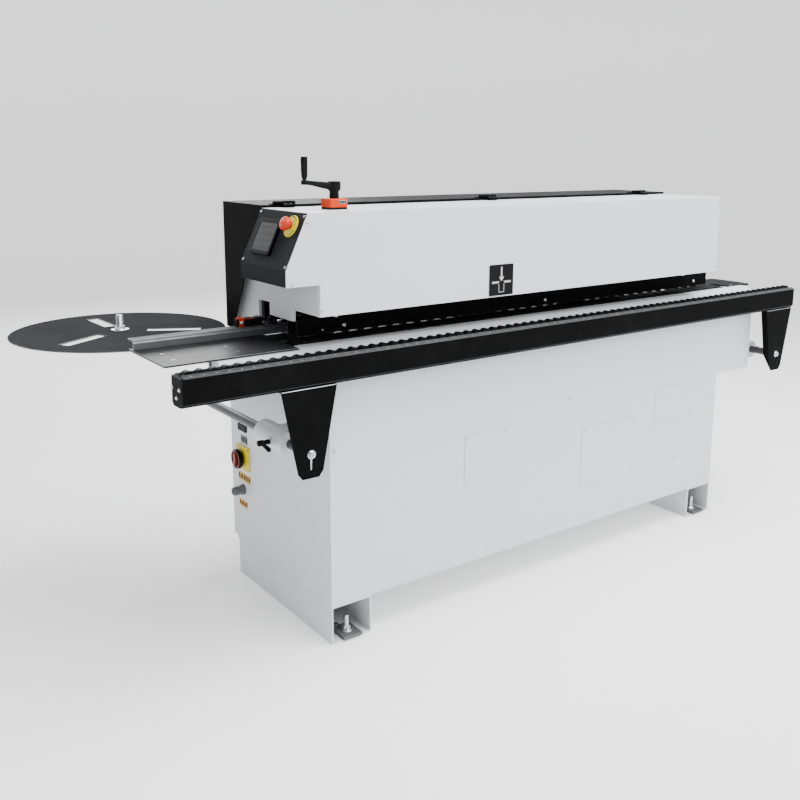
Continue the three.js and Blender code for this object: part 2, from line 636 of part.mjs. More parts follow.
// ---------------------------------------------------------------- roller rail and its slides
function makeRail() {
  const { left, right, front, wall, chamfer } = rail;
  const section = [[front + chamfer, railBottom], [railBack - chamfer, railBottom],
    [railBack, railBottom + chamfer], [railBack, railTop], [front, railTop],
    [front, railBottom + chamfer]];
  const channel = prism('x', section, left, right);
  const trough = block(left + wall, right - wall, front + wall, railBack - wall,
    railBottom + wall, railTop + wall);
  part('roller_rail', cut(channel, trough), blackPaint);
}

function makeRollers() {
  const middle = (rail.front + railBack) / 2;
  const low = railBottom + rail.wall + gap;
  const left = rail.left + rail.wall + gap;
  const right = rail.right - rail.wall - gap;
  const count = Math.floor((right - left - 2 * roller.radius) / roller.pitch) + 1;
  const first = (left + right - (count - 1) * roller.pitch) / 2;
  const axis = tableTop - roller.radius;
  const seat = axis - roller.carrierDrop / 4;
  const outline = [[right, low], [right, seat], [left, seat], [left, low]];
  const bumps = [];
  for (let i = count - 1; i >= 0; i -= 1) {
    const x = first + i * roller.pitch;
    const start = Math.asin((seat - axis) / roller.radius);
    for (let step = 0; step <= 6; step += 1) {
      const angle = start + ((Math.PI - 2 * start) * step) / 6;
      bumps.push([x + roller.radius * Math.cos(angle), axis + roller.radius * Math.sin(angle)]);
    }
  }
  outline.splice(2, 0, ...bumps);
  part('rail_rollers', prism('y', outline, middle - roller.width / 2, middle + roller.width / 2), rubber);
}

// One side of the leg is bent back; inward is 1 where that is its right side and -1 where it is its left.
function makeLeg(name, x, inward) {
  const top = railBottom - gap;
  const low = top - leg.height;
  const knee = low + leg.toe;
  const outline = [[x - leg.toeHalf, low], [x + leg.toeHalf, low], [x + leg.lowHalf, knee],
    [x + leg.topHalf, top], [x - leg.topHalf, top], [x - leg.lowHalf, knee]];
  const front = rail.front + legSheet;
  const sheet = prism('y', outline, front, front + legSheet);
  const topFlange = block(x - leg.topHalf, x + leg.topHalf, front, front + leg.depth, top - legSheet, top);
  const upper = x + inward * leg.topHalf;
  const lower = x + inward * leg.lowHalf;
  const bend = [[upper, top], [lower, knee], [lower - inward * legSheet, knee],
    [upper - inward * legSheet, top]];
  const back = front + leg.flange;
  const corner = prism('x', [[front + legSheet, knee - 1], [back + 1, knee - 1],
    [back + 1, low + leg.flangeCut]], x - leg.topHalf, x + leg.topHalf);
  const sideFlange = cut(prism('y', bend, front, back), corner);
  part(name, join(sheet, topFlange, sideFlange), blackPaint);
}

function makeTube(name, x) {
  const front = rail.front + 2 * legSheet + gap;
  const outer = circle(x, tubeLevel, tube.radius);
  part(name, prism('y', outer, front, tube.back, [circle(x, tubeLevel, tube.radius - tube.wall)]), steel);
}

// The sleeve is bolted to the end of the apron; side is -1 at the left end and 1 at the right.
function makeSleeve(name, x, wallX, side) {
  const { radius, front, back, footWidth, footThickness, web } = sleeve;
  const face = wallX + side * gap;
  const span = (a, b) => [Math.min(a, b), Math.max(a, b)];
  const barrel = rod('y', x, tubeLevel, radius, front, back);
  const foot = block(...span(face, face + side * footThickness), front + 6, back - 6,
    tubeLevel - footWidth / 2 + 4, tubeLevel + footWidth / 2 + 4);
  const rib = block(...span(face, x - side * (radius - 8)), front + 14, back - 14,
    tubeLevel - web / 2, tubeLevel + web / 2);
  const boss = rod('x', clampLever.y, tubeLevel, clampLever.boss,
    ...span(x + side * tube.radius, x + side * (radius + clampLever.bossHeight)));
  const bore = rod('y', x, tubeLevel, tube.radius + runningGap, front - 1, back + 1);
  const clampBore = rod('x', clampLever.y, tubeLevel, clampLever.stud + runningGap,
    ...span(x, x + side * (radius + clampLever.bossHeight + 1)), smallSides);
  part(name, cut(join(barrel, foot, rib, boss), bore, clampBore), whitePaint);
}

function makeClampLever(name, x, side) {
  const { y, hubLength, armLength } = clampLever;
  const face = x + side * (sleeve.radius + clampLever.bossHeight + gap);
  const span = (a, b) => [Math.min(a, b), Math.max(a, b)];
  const hub = rod('x', y, tubeLevel, clampLever.hub, ...span(face, face + side * hubLength), smallSides);
  const stud = rod('x', y, tubeLevel, clampLever.stud,
    ...span(face + side, x + side * (tube.radius + 1)), smallSides);
  const middle = face + side * (hubLength - clampLever.hub);
  const arm = rod('y', middle, tubeLevel, clampLever.arm, y - armLength, y, smallSides);
  part(name, join(hub, stud, arm), blackPlastic);
}

// ---------------------------------------------------------------- tape coil stand
function makeCoilStand() {
  const { x, radius } = coil;
  const y = coilY;
  const plateOutline = circle(x, y, radius, 64);
  const slots = Array.from({ length: coilSlot.count }, (_, i) => {
    const angle = ((coilSlot.firstAngle + (360 / coilSlot.count) * i) * Math.PI) / 180;
    const half = coilSlot.width / 2;
    return rectangle(coilSlot.inner, coilSlot.outer, -half, half).map(([a, b]) => [
      x + a * Math.cos(angle) - b * Math.sin(angle),
      y + a * Math.sin(angle) + b * Math.cos(angle),
    ]);
  });
  const hole = circle(x, y, coilSpindle.radius + gap, smallSides);
  part('coil_plate', prism('z', plateOutline, coilBottom, coilTop, [...slots, hole]), greyPlate);
  const { radius: r, washer, washerHeight, height } = coilSpindle;
  const armTop = coilBottom - 2 * gap - 2 * washerHeight;
  const lower = coilBottom - gap;
  const upper = coilTop + gap;
  const spindle = turned([[0, armTop + gap], [washer, armTop + gap], [washer, lower], [r, lower],
    [r, upper], [washer, upper], [washer, upper + washerHeight], [r, upper + washerHeight],
    [r, coilTop + height], [0, coilTop + height]], x, y);
  part('coil_spindle', spindle, steel);
  const arm = block(x - coilArm.width / 2, x + coilArm.width / 2, infeedSupport.back + gap,
    y + coilArm.overshoot, armTop - coilArm.height - 4, armTop - 4);
  const boss = rod('z', x, y, coilArm.boss, armTop - 5, armTop);
  part('coil_support', join(arm, boss), castIron);
}

// ---------------------------------------------------------------- left end fittings
function makeEndFittings() {
  const { y, z, radius, depth } = mainSwitch;
  const plate = rod('x', y, z, radius + 6, -gap - 6, -gap);
  const dial = rod('x', y, z, radius, -gap - 12, -gap - 5);
  const handle = block(-gap - depth, -gap - 11, y - 7, y + 7, z - radius + 3, z + radius - 3);
  part('main_switch', join(dial, handle, plate), redPlastic);
  const g = gland;
  const nut = rod('x', g.y, g.z, g.nut, -gap - 12, -gap, 6);
  const body = rod('x', g.y, g.z, g.body, -gap - g.length, -gap - 11, smallSides);
  const hole = rod('x', g.y, g.z, g.hole, -g.length - 5, -gap - 6, smallSides);
  part('cable_gland', cut(join(nut, body), hole), greyPlastic);
}

// ---------------------------------------------------------------- working units under the hood
function makeWorkingUnits() {
  const base = bedTop + gap;
  const line = panelLine + 6;
  const p = gluePot;
  const lipTop = base + p.lip;
  part('glue_pot', join(block(p.left, p.right, p.front, p.back, base, base + p.height),
    block(p.left + 15, p.right - 15, line + 1, p.front + 1, base + 30, lipTop)), castIron);
  const r = glueRoller;
  part('glue_roller', rod('z', r.x, line + r.radius, r.radius,
    lipTop + gap, lipTop + gap + r.height), steel);
  const w = pressRoller;
  const wheelLow = tableTop - 8;
  part('pressure_roller', join(
    rod('z', w.x, line + w.radius, w.radius, wheelLow, wheelLow + w.height),
    rod('z', w.x, line + w.radius, w.axle, wheelLow + w.height - 1, frameBottom - gap, smallSides)),
  rubber);
  const e = endTrim;
  const middle = (e.left + e.right) / 2;
  part('end_trim_carriage', join(
    block(e.left, e.right, e.front + 60, e.back, frameBottom - 60, frameBottom - gap),
    rod('y', middle, frameBottom - 100, e.motor, e.front + 40, e.back),
    rod('y', middle, frameBottom - 100, e.saw, e.front + 12, e.front + 18),
    rod('y', middle, frameBottom - 100, 9, e.front + 17, e.front + 41, smallSides)), motorGrey);
  const t = edgeTrim;
  const x = (t.left + t.right) / 2;
  const cutterY = line + t.cutter;
  part('edge_trim_unit', join(
    block(t.left, t.right, t.back - 30, t.back, base, frameBottom - 30),
    block(t.left + 10, t.right - 10, cutterY - 20, t.back - 29, base + 20, base + 40),
    block(t.left + 10, t.right - 10, cutterY - 20, t.back - 29, frameBottom - 70, frameBottom - 50),
    rod('z', x, cutterY + 15, t.motor - 2, tableTop + 60, frameBottom - 60),
    rod('z', x, cutterY, t.cutter - 2, tableTop + 30, tableTop + 61)), motorGrey);
  const b = buffer;
  const motorLow = tableTop + 48;
  part('buffing_motor', join(
    rod('z', b.x, b.y, b.motor, motorLow, motorLow + b.motorLength * 0.6),
    block(b.x - 50, b.x + 50, b.y + 20, b.y + 70, base, motorLow + 40)), motorGrey);
  const wheelY = line + b.wheel;
  part('buffing_wheel', join(
    rod('z', b.x, wheelY, b.wheel, tableTop - 20, tableTop - 20 + b.wheelWidth),
    rod('z', b.x, wheelY, b.shaft, tableTop + b.wheelWidth - 21, motorLow - 4, smallSides)), rubber);
}

// ---------------------------------------------------------------- assembly
makeFoot('left_foot', 0);
makeFoot('right_foot', cabinet.length - foot.width);
makeCabinet();
makeAccessCovers();
makeApron();
makeBed();
makeTable();
makeTrack();
makeSprocket('idler_sprocket', track.left, sprocket.idlerShaftRadius, infeedSupport.front - runningGap);
makeSprocket('drive_sprocket', track.right, sprocket.shaftRadius, trackBack + 12 + gearbox.depth / 2);
makeGearmotor();
makeInfeed();
makeFence();
makeHood();
makeGuard();
makeHousing();
makeControls();
makeRearCover();
hingePlaces.forEach((x, i) => makeHinge(`cover_hinge_${i + 1}`, x));
makeUpperFrame();
makePressureBeam();
makeHeightSetting();
makeRail();
makeRollers();
makeLeg('left_leg', leg.leftX, 1);
makeLeg('right_leg', leg.rightX, -1);
makeTube('left_slide_tube', tube.leftX);
makeTube('right_slide_tube', tube.rightX);
makeSleeve('left_slide_sleeve', tube.leftX, 0, -1);
makeSleeve('right_slide_sleeve', tube.rightX, apron.length, 1);
makeClampLever('left_clamp_lever', tube.leftX, -1);
makeClampLever('right_clamp_lever', tube.rightX, 1);
makeCoilStand();
makeEndFittings();
makeWorkingUnits();

// The origin is the middle of the whole machine's box, on the floor.
const whole = new THREE.Group();
whole.add(machine);
const bounds = new THREE.Box3().setFromObject(whole, true);
const centre = bounds.getCenter(new THREE.Vector3());
machine.position.set(-centre.x, -centre.y, -bounds.min.z);

export default whole;
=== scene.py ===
import json
import math

import bmesh
import bpy
from mathutils import Matrix, Vector

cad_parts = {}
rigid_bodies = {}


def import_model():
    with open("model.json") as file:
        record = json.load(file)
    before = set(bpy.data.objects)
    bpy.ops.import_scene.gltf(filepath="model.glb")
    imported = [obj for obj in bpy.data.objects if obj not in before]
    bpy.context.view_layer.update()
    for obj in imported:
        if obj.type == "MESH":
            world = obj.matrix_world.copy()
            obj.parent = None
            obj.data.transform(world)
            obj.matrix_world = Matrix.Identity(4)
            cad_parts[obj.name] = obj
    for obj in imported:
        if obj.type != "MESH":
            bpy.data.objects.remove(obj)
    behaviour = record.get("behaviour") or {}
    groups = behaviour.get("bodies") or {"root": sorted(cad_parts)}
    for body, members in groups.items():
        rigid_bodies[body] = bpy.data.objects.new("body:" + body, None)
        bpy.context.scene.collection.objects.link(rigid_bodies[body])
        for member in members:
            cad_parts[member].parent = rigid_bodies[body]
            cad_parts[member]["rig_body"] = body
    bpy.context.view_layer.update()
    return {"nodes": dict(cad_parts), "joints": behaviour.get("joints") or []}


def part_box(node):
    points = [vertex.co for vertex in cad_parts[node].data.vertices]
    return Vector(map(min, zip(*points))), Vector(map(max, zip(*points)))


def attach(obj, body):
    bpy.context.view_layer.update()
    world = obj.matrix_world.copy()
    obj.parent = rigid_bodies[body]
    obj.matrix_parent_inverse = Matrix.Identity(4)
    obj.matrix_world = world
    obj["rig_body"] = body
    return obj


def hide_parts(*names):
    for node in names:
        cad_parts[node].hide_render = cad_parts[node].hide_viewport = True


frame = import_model()

X = Vector((1, 0, 0))
Y = Vector((0, 1, 0))
Z = Vector((0, 0, 1))


# ---------------------------------------------------------------- camera, light and floor
def make_camera():
    data = bpy.data.cameras.new("camera")
    data.sensor_width = 36
    data.lens = 41.59
    data.shift_x = -0.0284
    data.shift_y = -0.0864
    data.clip_start = 0.05
    data.clip_end = 80
    azimuth, elevation, roll = (math.radians(angle) for angle in (-37.0, 11.07, 0.39))
    spot = (-2.1421, -2.7031, 1.5107)
    back = Vector((math.sin(azimuth) * math.cos(elevation), -math.cos(azimuth) * math.cos(elevation),
                   math.sin(elevation)))
    right = Z.cross(back).normalized()
    up = back.cross(right)
    axes = Matrix((right * math.cos(roll) + up * math.sin(roll),
                   up * math.cos(roll) - right * math.sin(roll), back)).transposed()
    camera = bpy.data.objects.new("camera", data)
    bpy.context.scene.collection.objects.link(camera)
    camera.matrix_world = Matrix.Translation(spot) @ axes.to_4x4()
    bpy.context.scene.camera = camera


def make_light(name, spot, target, size, power, color=(1, 1, 1)):
    data = bpy.data.lights.new(name, "AREA")
    data.shape = "RECTANGLE"
    data.size, data.size_y = size
    data.energy = power
    data.color = color
    light = bpy.data.objects.new(name, data)
    bpy.context.scene.collection.objects.link(light)
    light.location = spot
    light.rotation_euler = (Vector(target) - Vector(spot)).to_track_quat("-Z", "Y").to_euler()


def make_studio():
    world = bpy.data.worlds.new("studio")
    world.use_nodes = True
    background = world.node_tree.nodes["Background"]
    background.inputs["Color"].default_value = (0.95, 0.975, 1.0, 1)
    background.inputs["Strength"].default_value = 0.2
    bpy.context.scene.world = world
    make_light("top_softbox", (0.7, -1.2, 4.6), (0.1, 0, 0.8), (5.0, 3.4), 640)
    make_light("front_softbox", (2.2, -5.2, 4.0), (0.2, 0, 0.9), (4.6, 2.2), 290, (1.0, 0.99, 0.98))
    make_light("left_softbox", (-5.8, 0.2, 2.2), (-0.4, 0, 0.8), (3.0, 2.6), 5, (1.0, 0.97, 0.93))
    make_light("rear_softbox", (0.6, 5.4, 3.2), (0, 0, 0.8), (4.4, 2.4), 190)


def make_cove():
    """A round floor that curves up far from the machine, so that no horizon shows."""
    bm = bmesh.new()
    floor_radius, bend, rim, sides, steps = 7.5, 3.0, 6.5, 96, 14
    profile = [(0.0, 0.0), (1.5, 0.0), (4.0, 0.0)]
    profile += [(floor_radius + bend * math.sin(0.5 * math.pi * i / steps),
                 bend - bend * math.cos(0.5 * math.pi * i / steps)) for i in range(steps + 1)]
    profile.append((floor_radius + bend, rim))
    turned(bm, profile, Matrix.Identity(4), sides)
    floor = as_object("studio_floor", bm)
    paint = finish("floor_paint", (0.80, 0.803, 0.808), 0.8, spread=0.008, grain=220, depth=0.00002,
                   specular=0.05)
    shader = paint.node_tree.nodes["Principled BSDF"]
    shader.inputs["Emission Color"].default_value = (1.0, 1.0, 1.0, 1)
    shader.inputs["Emission Strength"].default_value = 0.5
    floor.data.materials.append(paint)


# ---------------------------------------------------------------- materials
def noise(tree, scale, detail=3.0, stretch=(1, 1, 1)):
    """A noise value over the object's own metres, drawn out along an axis where stretch is small."""
    coordinates = tree.nodes.new("ShaderNodeTexCoord")
    mapping = tree.nodes.new("ShaderNodeMapping")
    mapping.inputs["Scale"].default_value = stretch
    texture = tree.nodes.new("ShaderNodeTexNoise")
    texture.inputs["Scale"].default_value = scale
    texture.inputs["Detail"].default_value = detail
    tree.links.new(coordinates.outputs["Object"], mapping.inputs["Vector"])
    tree.links.new(mapping.outputs["Vector"], texture.inputs["Vector"])
    return texture.outputs["Fac"]


def spread_of(tree, value, low, high, start=0.3, end=0.7):
    """The value's range from start to end, stretched to the range from low to high."""
    node = tree.nodes.new("ShaderNodeMapRange")
    node.inputs["From Min"].default_value = start
    node.inputs["From Max"].default_value = end
    node.inputs["To Min"].default_value = low
    node.inputs["To Max"].default_value = high
    tree.links.new(value, node.inputs["Value"])
    return node.outputs["Result"]


def blend_colors(tree, factor, first, second):
    """Mixes two colours, each a socket or a plain colour."""
    node = tree.nodes.new("ShaderNodeMix")
    node.data_type = "RGBA"
    share, color_a, color_b = (node.inputs[i] for i in (0, 6, 7))
    for socket, color in ((color_a, first), (color_b, second)):
        if isinstance(color, bpy.types.NodeSocket):
            tree.links.new(color, socket)
        else:
            socket.default_value = (*color, 1)
    tree.links.new(factor, share)
    return node.outputs[2]


def near_floor(tree, top):
    """1 at the floor, falling to 0 at that height."""
    coordinates = tree.nodes.new("ShaderNodeTexCoord")
    split = tree.nodes.new("ShaderNodeSeparateXYZ")
    tree.links.new(coordinates.outputs["Object"], split.inputs["Vector"])
    return spread_of(tree, split.outputs["Z"], 1.0, 0.0, 0.0, top)


def multiply(tree, first, second):
    node = tree.nodes.new("ShaderNodeMath")
    node.operation = "MULTIPLY"
    for socket, value in zip(node.inputs, (first, second)):
        if isinstance(value, bpy.types.NodeSocket):
            tree.links.new(value, socket)
        else:
            socket.default_value = value
    return node.outputs["Value"]


def finish(name, color, roughness, metallic=0.0, spread=0.04, patch=3.0, grain=900.0, depth=0.00001,
           stretch=(1, 1, 1), rough_spread=0.06, marks=None, mark_amount=0.0, dust=None, dirt=0.0,
           specular=0.5):
    """A surface with slow colour patches, a fine grain in the shape and the gloss, marks and dust."""
    material = bpy.data.materials.new(name)
    material.use_nodes = True
    tree = material.node_tree
    shader = tree.nodes["Principled BSDF"]
    low = tuple(channel * (1 - spread) for channel in color)
    high = tuple(min(1.0, channel * (1 + spread)) for channel in color)
    base = blend_colors(tree, spread_of(tree, noise(tree, patch, 4.0), 0.0, 1.0), low, high)
    rough = spread_of(tree, noise(tree, grain * 0.35, 4.0, stretch), roughness - rough_spread,
                      roughness + rough_spread)
    if marks:
        scratch = spread_of(tree, noise(tree, 90.0, 6.0, (0.06, 1.0, 0.06)), 0.0, mark_amount, 0.62, 0.74)
        base = blend_colors(tree, scratch, base, marks)
    if dust:
        cloud = spread_of(tree, noise(tree, 14.0, 8.0), 0.0, 0.16, 0.48, 0.82)
        base = blend_colors(tree, cloud, base, dust)
    if dirt:
        cloud = spread_of(tree, noise(tree, 9.0, 8.0), 0.1, 1.0, 0.4, 0.72)
        stain = multiply(tree, multiply(tree, cloud, near_floor(tree, 0.22)), dirt)
        base = blend_colors(tree, stain, base, (0.33, 0.32, 0.30))
    tree.links.new(base, shader.inputs["Base Color"])
    tree.links.new(rough, shader.inputs["Roughness"])
    shader.inputs["Metallic"].default_value = metallic
    shader.inputs["Specular IOR Level"].default_value = specular
    relief = tree.nodes.new("ShaderNodeBump")
    relief.inputs["Strength"].default_value = 1.0
    relief.inputs["Distance"].default_value = depth
    tree.links.new(noise(tree, grain, 3.0, stretch), relief.inputs["Height"])
    tree.links.new(relief.outputs["Normal"], shader.inputs["Normal"])
    return material


white = finish("white_powder_coat", (0.55, 0.562, 0.59), 0.42, spread=0.015, patch=1.6, grain=1300,
               depth=0.000012, dirt=0.4, dust=(0.47, 0.46, 0.445))
white_edge = finish("white_coat_edge", (0.60, 0.612, 0.635), 0.36, spread=0.03, patch=30, grain=1300,
                    depth=0.000008)
black = finish("black_powder_coat", (0.0030, 0.0031, 0.0033), 0.42, spread=0.15, patch=5, grain=1500,
               depth=0.00002, rough_spread=0.08, dust=(0.014, 0.014, 0.014), specular=0.015)
black_edge = finish("black_coat_edge", (0.018, 0.018, 0.019), 0.34, spread=0.4, patch=60, grain=1500,
                    specular=0.1)
plate_grey = finish("grey_sheet_steel", (0.021, 0.022, 0.0245), 0.44, metallic=0.25, spread=0.12, patch=7,
                    grain=700, depth=0.000012, stretch=(0.08, 1, 1), marks=(0.06, 0.062, 0.066),
                    mark_amount=0.5, dust=(0.05, 0.05, 0.05), specular=0.2)
# Steel for the rail's lip strip, darkened to paint in the shade that the strip's front face lies in (painted
# shade).
shade_darkened_strip = finish("steel_strip_shade_darkened", (0.07, 0.071, 0.073), 0.36, metallic=0.5, spread=0.15, patch=24,
                    depth=0.000008, stretch=(0.04, 1, 1), specular=0.1)
disc_paint = finish("dark_disc_coat", (0.030, 0.031, 0.034), 0.62, spread=0.10, patch=6,
                    marks=(0.05, 0.05, 0.053), mark_amount=0.35, specular=0.0)
plate_edge = finish("grey_sheet_edge", (0.12, 0.122, 0.126), 0.36, metallic=0.6, spread=0.2, patch=40)
panel_paint = finish("panel_fine_texture", (0.0125, 0.0132, 0.0150), 0.5, spread=0.06, grain=2200,
                     depth=0.00003, specular=0.04)
steel = finish("turned_steel", (0.50, 0.51, 0.53), 0.26, metallic=1.0, spread=0.06, patch=40, grain=1600,
               depth=0.000006, stretch=(1, 1, 0.1))
galvanised = finish("bright_steel_strip", (0.46, 0.47, 0.48), 0.30, metallic=1.0, spread=0.12, patch=24,
                    depth=0.000008, stretch=(0.04, 1, 1))
# Slide tube steel: its colour is darkened far below bare steel to paint in the shade the tubes lie in
# (painted shade).
shade_darkened_tube_steel = finish("drawn_tube_shade_darkened", (0.055, 0.058, 0.064), 0.38, metallic=0.5, spread=0.12, patch=18,
                    depth=0.000008, stretch=(1, 0.05, 1))
cast = finish("painted_casting", (0.085, 0.088, 0.092), 0.55, metallic=0.25, spread=0.10, patch=12,
              grain=420, depth=0.00009, dust=(0.16, 0.16, 0.155), specular=0.3)
aluminium = finish("extruded_aluminium", (0.075, 0.077, 0.082), 0.50, metallic=0.12, spread=0.07, patch=10,
                   grain=1200, stretch=(0.03, 1, 1), marks=(0.14, 0.14, 0.145),
                   mark_amount=0.5, specular=0.03)
rubber = finish("moulded_rubber", (0.0075, 0.0075, 0.008), 0.62, spread=0.2, patch=25, grain=1100,
                depth=0.00005, dust=(0.02, 0.02, 0.02), specular=0.06)
black_plastic = finish("black_plastic", (0.0055, 0.0055, 0.006), 0.40, spread=0.10, patch=30, grain=1800,
                       depth=0.00002, specular=0.06)
bare_plastic = finish("roller_plastic", (0.0040, 0.0040, 0.0044), 0.34, spread=0.18, patch=30, grain=1500,
                      depth=0.00002, specular=0.03)
orange = finish("orange_plastic", (0.52, 0.040, 0.006), 0.45, spread=0.05, patch=20, grain=1700,
                depth=0.000015, specular=0.08)
red = finish("red_plastic", (0.50, 0.036, 0.011), 0.30, spread=0.05, patch=30, grain=1700,
             specular=0.15)
dark_red = finish("dark_red_plastic", (0.24, 0.022, 0.008), 0.38, spread=0.08, patch=30, grain=1700,
                  specular=0.3)
yellow = finish("yellow_plastic", (0.60, 0.50, 0.010), 0.40, spread=0.05, patch=30, grain=1500,
                specular=0.3)
grey_plastic = finish("grey_plastic", (0.10, 0.103, 0.110), 0.48, spread=0.06, patch=30, grain=1500,
                      depth=0.00002, specular=0.3)
motor_paint = finish("motor_paint", (0.030, 0.038, 0.048), 0.42, metallic=0.3, spread=0.10, patch=16,
                     grain=520, depth=0.00006, dust=(0.07, 0.07, 0.07), specular=0.3)
screen_glass = finish("screen_glass", (0.0080, 0.0088, 0.0105), 0.16, spread=0.08, patch=9, grain=60,
                      depth=0.000001, rough_spread=0.02, specular=0.25)
screen_mark = finish("screen_mark", (0.020, 0.022, 0.025), 0.2, spread=0.10, patch=60, specular=0.25)
label_white = finish("label_white", (0.40, 0.40, 0.40), 0.45, patch=40)
label_grey = finish("label_grey", (0.11, 0.113, 0.12), 0.45, spread=0.10, patch=60)
label_amber = finish("label_amber", (0.60, 0.30, 0.008), 0.42, spread=0.10, patch=60, specular=0.3)

# what many pieces are made of: the face and edge materials, with their slot
white_coat = ([white, white_edge], "white_paint")
black_coat = ([black, black_edge], "black_paint")
casting = ([cast, plate_edge], "cast")
plate_coat = ([plate_grey, plate_edge], "grey_plate")
moulded = (black_plastic, "black_plastic")


# ---------------------------------------------------------------- mesh building
def middle(node):
    """The centre of a node's box."""
    low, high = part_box(node)
    return (low + high) / 2


def place(spot, normal=Z, spin=0.0):
    """The matrix of a piece that stands at a point with its own Z along the normal."""
    turn = Vector(normal).to_track_quat("Z", "Y").to_matrix().to_4x4()
    return Matrix.Translation(spot) @ turn @ Matrix.Rotation(spin, 4, "Z")


def facing(spot, across, up, out):
    """The matrix whose own X, Y and Z point along the three given directions."""
    return Matrix.Translation(spot) @ Matrix((across, up, out)).transposed().to_4x4()


def turned(bm, profile, where, sides=32, closed=False):
    """Turns (radius, height) points about the local Z axis; a third value gives a ring that many corners."""
    rings = []
    for point in profile:
        radius, height = point[0], point[1]
        flats = point[2] if len(point) > 2 else 0
        if radius < 1e-7:
            rings.append([bm.verts.new(where @ Vector((0, 0, height)))])
            continue
        loop = []
        for i in range(sides):
            angle = 2 * math.pi * i / sides
            reach = radius
            if flats:
                half = math.pi / flats
                reach = radius * math.cos(half) / math.cos(angle % (2 * half) - half)
            spot = Vector((reach * math.cos(angle), reach * math.sin(angle), height))
            loop.append(bm.verts.new(where @ spot))
        rings.append(loop)
    pairs = list(zip(rings, rings[1:]))
    if closed:
        pairs.append((rings[-1], rings[0]))
    for low, high in pairs:
        for i in range(max(len(low), len(high))):
            j = (i + 1) % max(len(low), len(high))
            if len(low) == 1:
                bm.faces.new((low[0], high[j], high[i]))
            elif len(high) == 1:
                bm.faces.new((low[i], low[j], high[0]))
            else:
                bm.faces.new((low[i], low[j], high[j], high[i]))


def extruded(bm, outline, depth, where):
    """An outline in the local XY plane, swept from Z = 0 to the depth."""
    bottom = [bm.verts.new(where @ Vector((a, b, 0))) for a, b in outline]
    top = [bm.verts.new(where @ Vector((a, b, depth))) for a, b in outline]
    bm.faces.new(bottom[::-1])
    bm.faces.new(top)
    for i in range(len(outline)):
        j = (i + 1) % len(outline)
        bm.faces.new((bottom[i], bottom[j], top[j], top[i]))


def block(bm, low, high):
    """A box between two corners."""
    outline = [(low[0], low[1]), (high[0], low[1]), (high[0], high[1]), (low[0], high[1])]
    extruded(bm, outline, high[2] - low[2], Matrix.Translation((0, 0, low[2])))


def arc(a, b, radius, start, end, steps):
    """Points of an arc, with its angles in degrees."""
    angles = [math.radians(start + (end - start) * i / steps) for i in range(steps + 1)]
    return [(a + radius * math.cos(angle), b + radius * math.sin(angle)) for angle in angles]


def rounded(width, height, radius, steps=5):
    """A rectangle's outline with round corners."""
    a, b = width / 2 - radius, height / 2 - radius
    return (arc(a, b, radius, 0, 90, steps) + arc(-a, b, radius, 90, 180, steps)
            + arc(-a, -b, radius, 180, 270, steps) + arc(a, -b, radius, 270, 360, steps))


def swept(bm, path, radius, sides=12):
    """A round bar along a short path, with its radius given at each point or once for all."""
    rings = []
    for i, point in enumerate(path):
        ahead = path[min(i + 1, len(path) - 1)] - path[max(i - 1, 0)]
        here = radius[i] if isinstance(radius, (list, tuple)) else radius
        where = place(point, ahead.normalized())
        rings.append([bm.verts.new(where @ Vector((here * math.cos(2 * math.pi * k / sides),
                                                   here * math.sin(2 * math.pi * k / sides), 0)))
                      for k in range(sides)])
    for low, high in zip(rings, rings[1:]):
        for k in range(sides):
            j = (k + 1) % sides
            bm.faces.new((low[k], low[j], high[j], high[k]))
    bm.faces.new(rings[0][::-1])
    bm.faces.new(rings[-1])


def as_object(name, bm):
    """The mesh as a smooth-shaded object in the scene."""
    mesh = bpy.data.meshes.new(name)
    bm.to_mesh(mesh)
    bm.free()
    mesh.polygons.foreach_set("use_smooth", [True] * len(mesh.polygons))
    obj = bpy.data.objects.new(name, mesh)
    bpy.context.scene.collection.objects.link(obj)
    return obj


def piece(name, bm, body, materials, slot, replaces=(), bevel=0.0, segments=2, angle=30):
    """Makes the object, rounds its edges, and hangs it on its body. A second material marks the edges."""
    bmesh.ops.recalc_face_normals(bm, faces=bm.faces)
    obj = as_object(name, bm)
    materials = materials if isinstance(materials, (list, tuple)) else [materials]
    for material in materials:
        obj.data.materials.append(material)
    if bevel:
        modifier = obj.modifiers.new("edges", "BEVEL")
        modifier.width = bevel
        modifier.segments = segments
        modifier.limit_method = "ANGLE"
        modifier.angle_limit = math.radians(angle)
        modifier.use_clamp_overlap = True
        modifier.miter_outer = "MITER_ARC"
        if len(materials) > 1:
            modifier.material = 1
    shading = obj.modifiers.new("shading", "WEIGHTED_NORMAL")
    shading.weight = 60
    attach(obj, body)
    if replaces:
        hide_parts(*([replaces] if isinstance(replaces, str) else replaces))
    return obj


def softened(node, materials, slot, bevel=0.0012, cutters=(), segments=2):
    """A copy of a CAD node with clean faces, rounded edges and any openings cut in it."""
    source = frame["nodes"][node]
    bm = bmesh.new()
    bm.from_mesh(source.data)
    bmesh.ops.remove_doubles(bm, verts=bm.verts, dist=0.00002)
    if cutters:
        bm = carved(bm, cutters)
    bmesh.ops.dissolve_limit(bm, angle_limit=math.radians(1), verts=bm.verts, edges=bm.edges)
    return piece(node + "_finished", bm, source["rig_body"], materials, slot, node, bevel, segments)


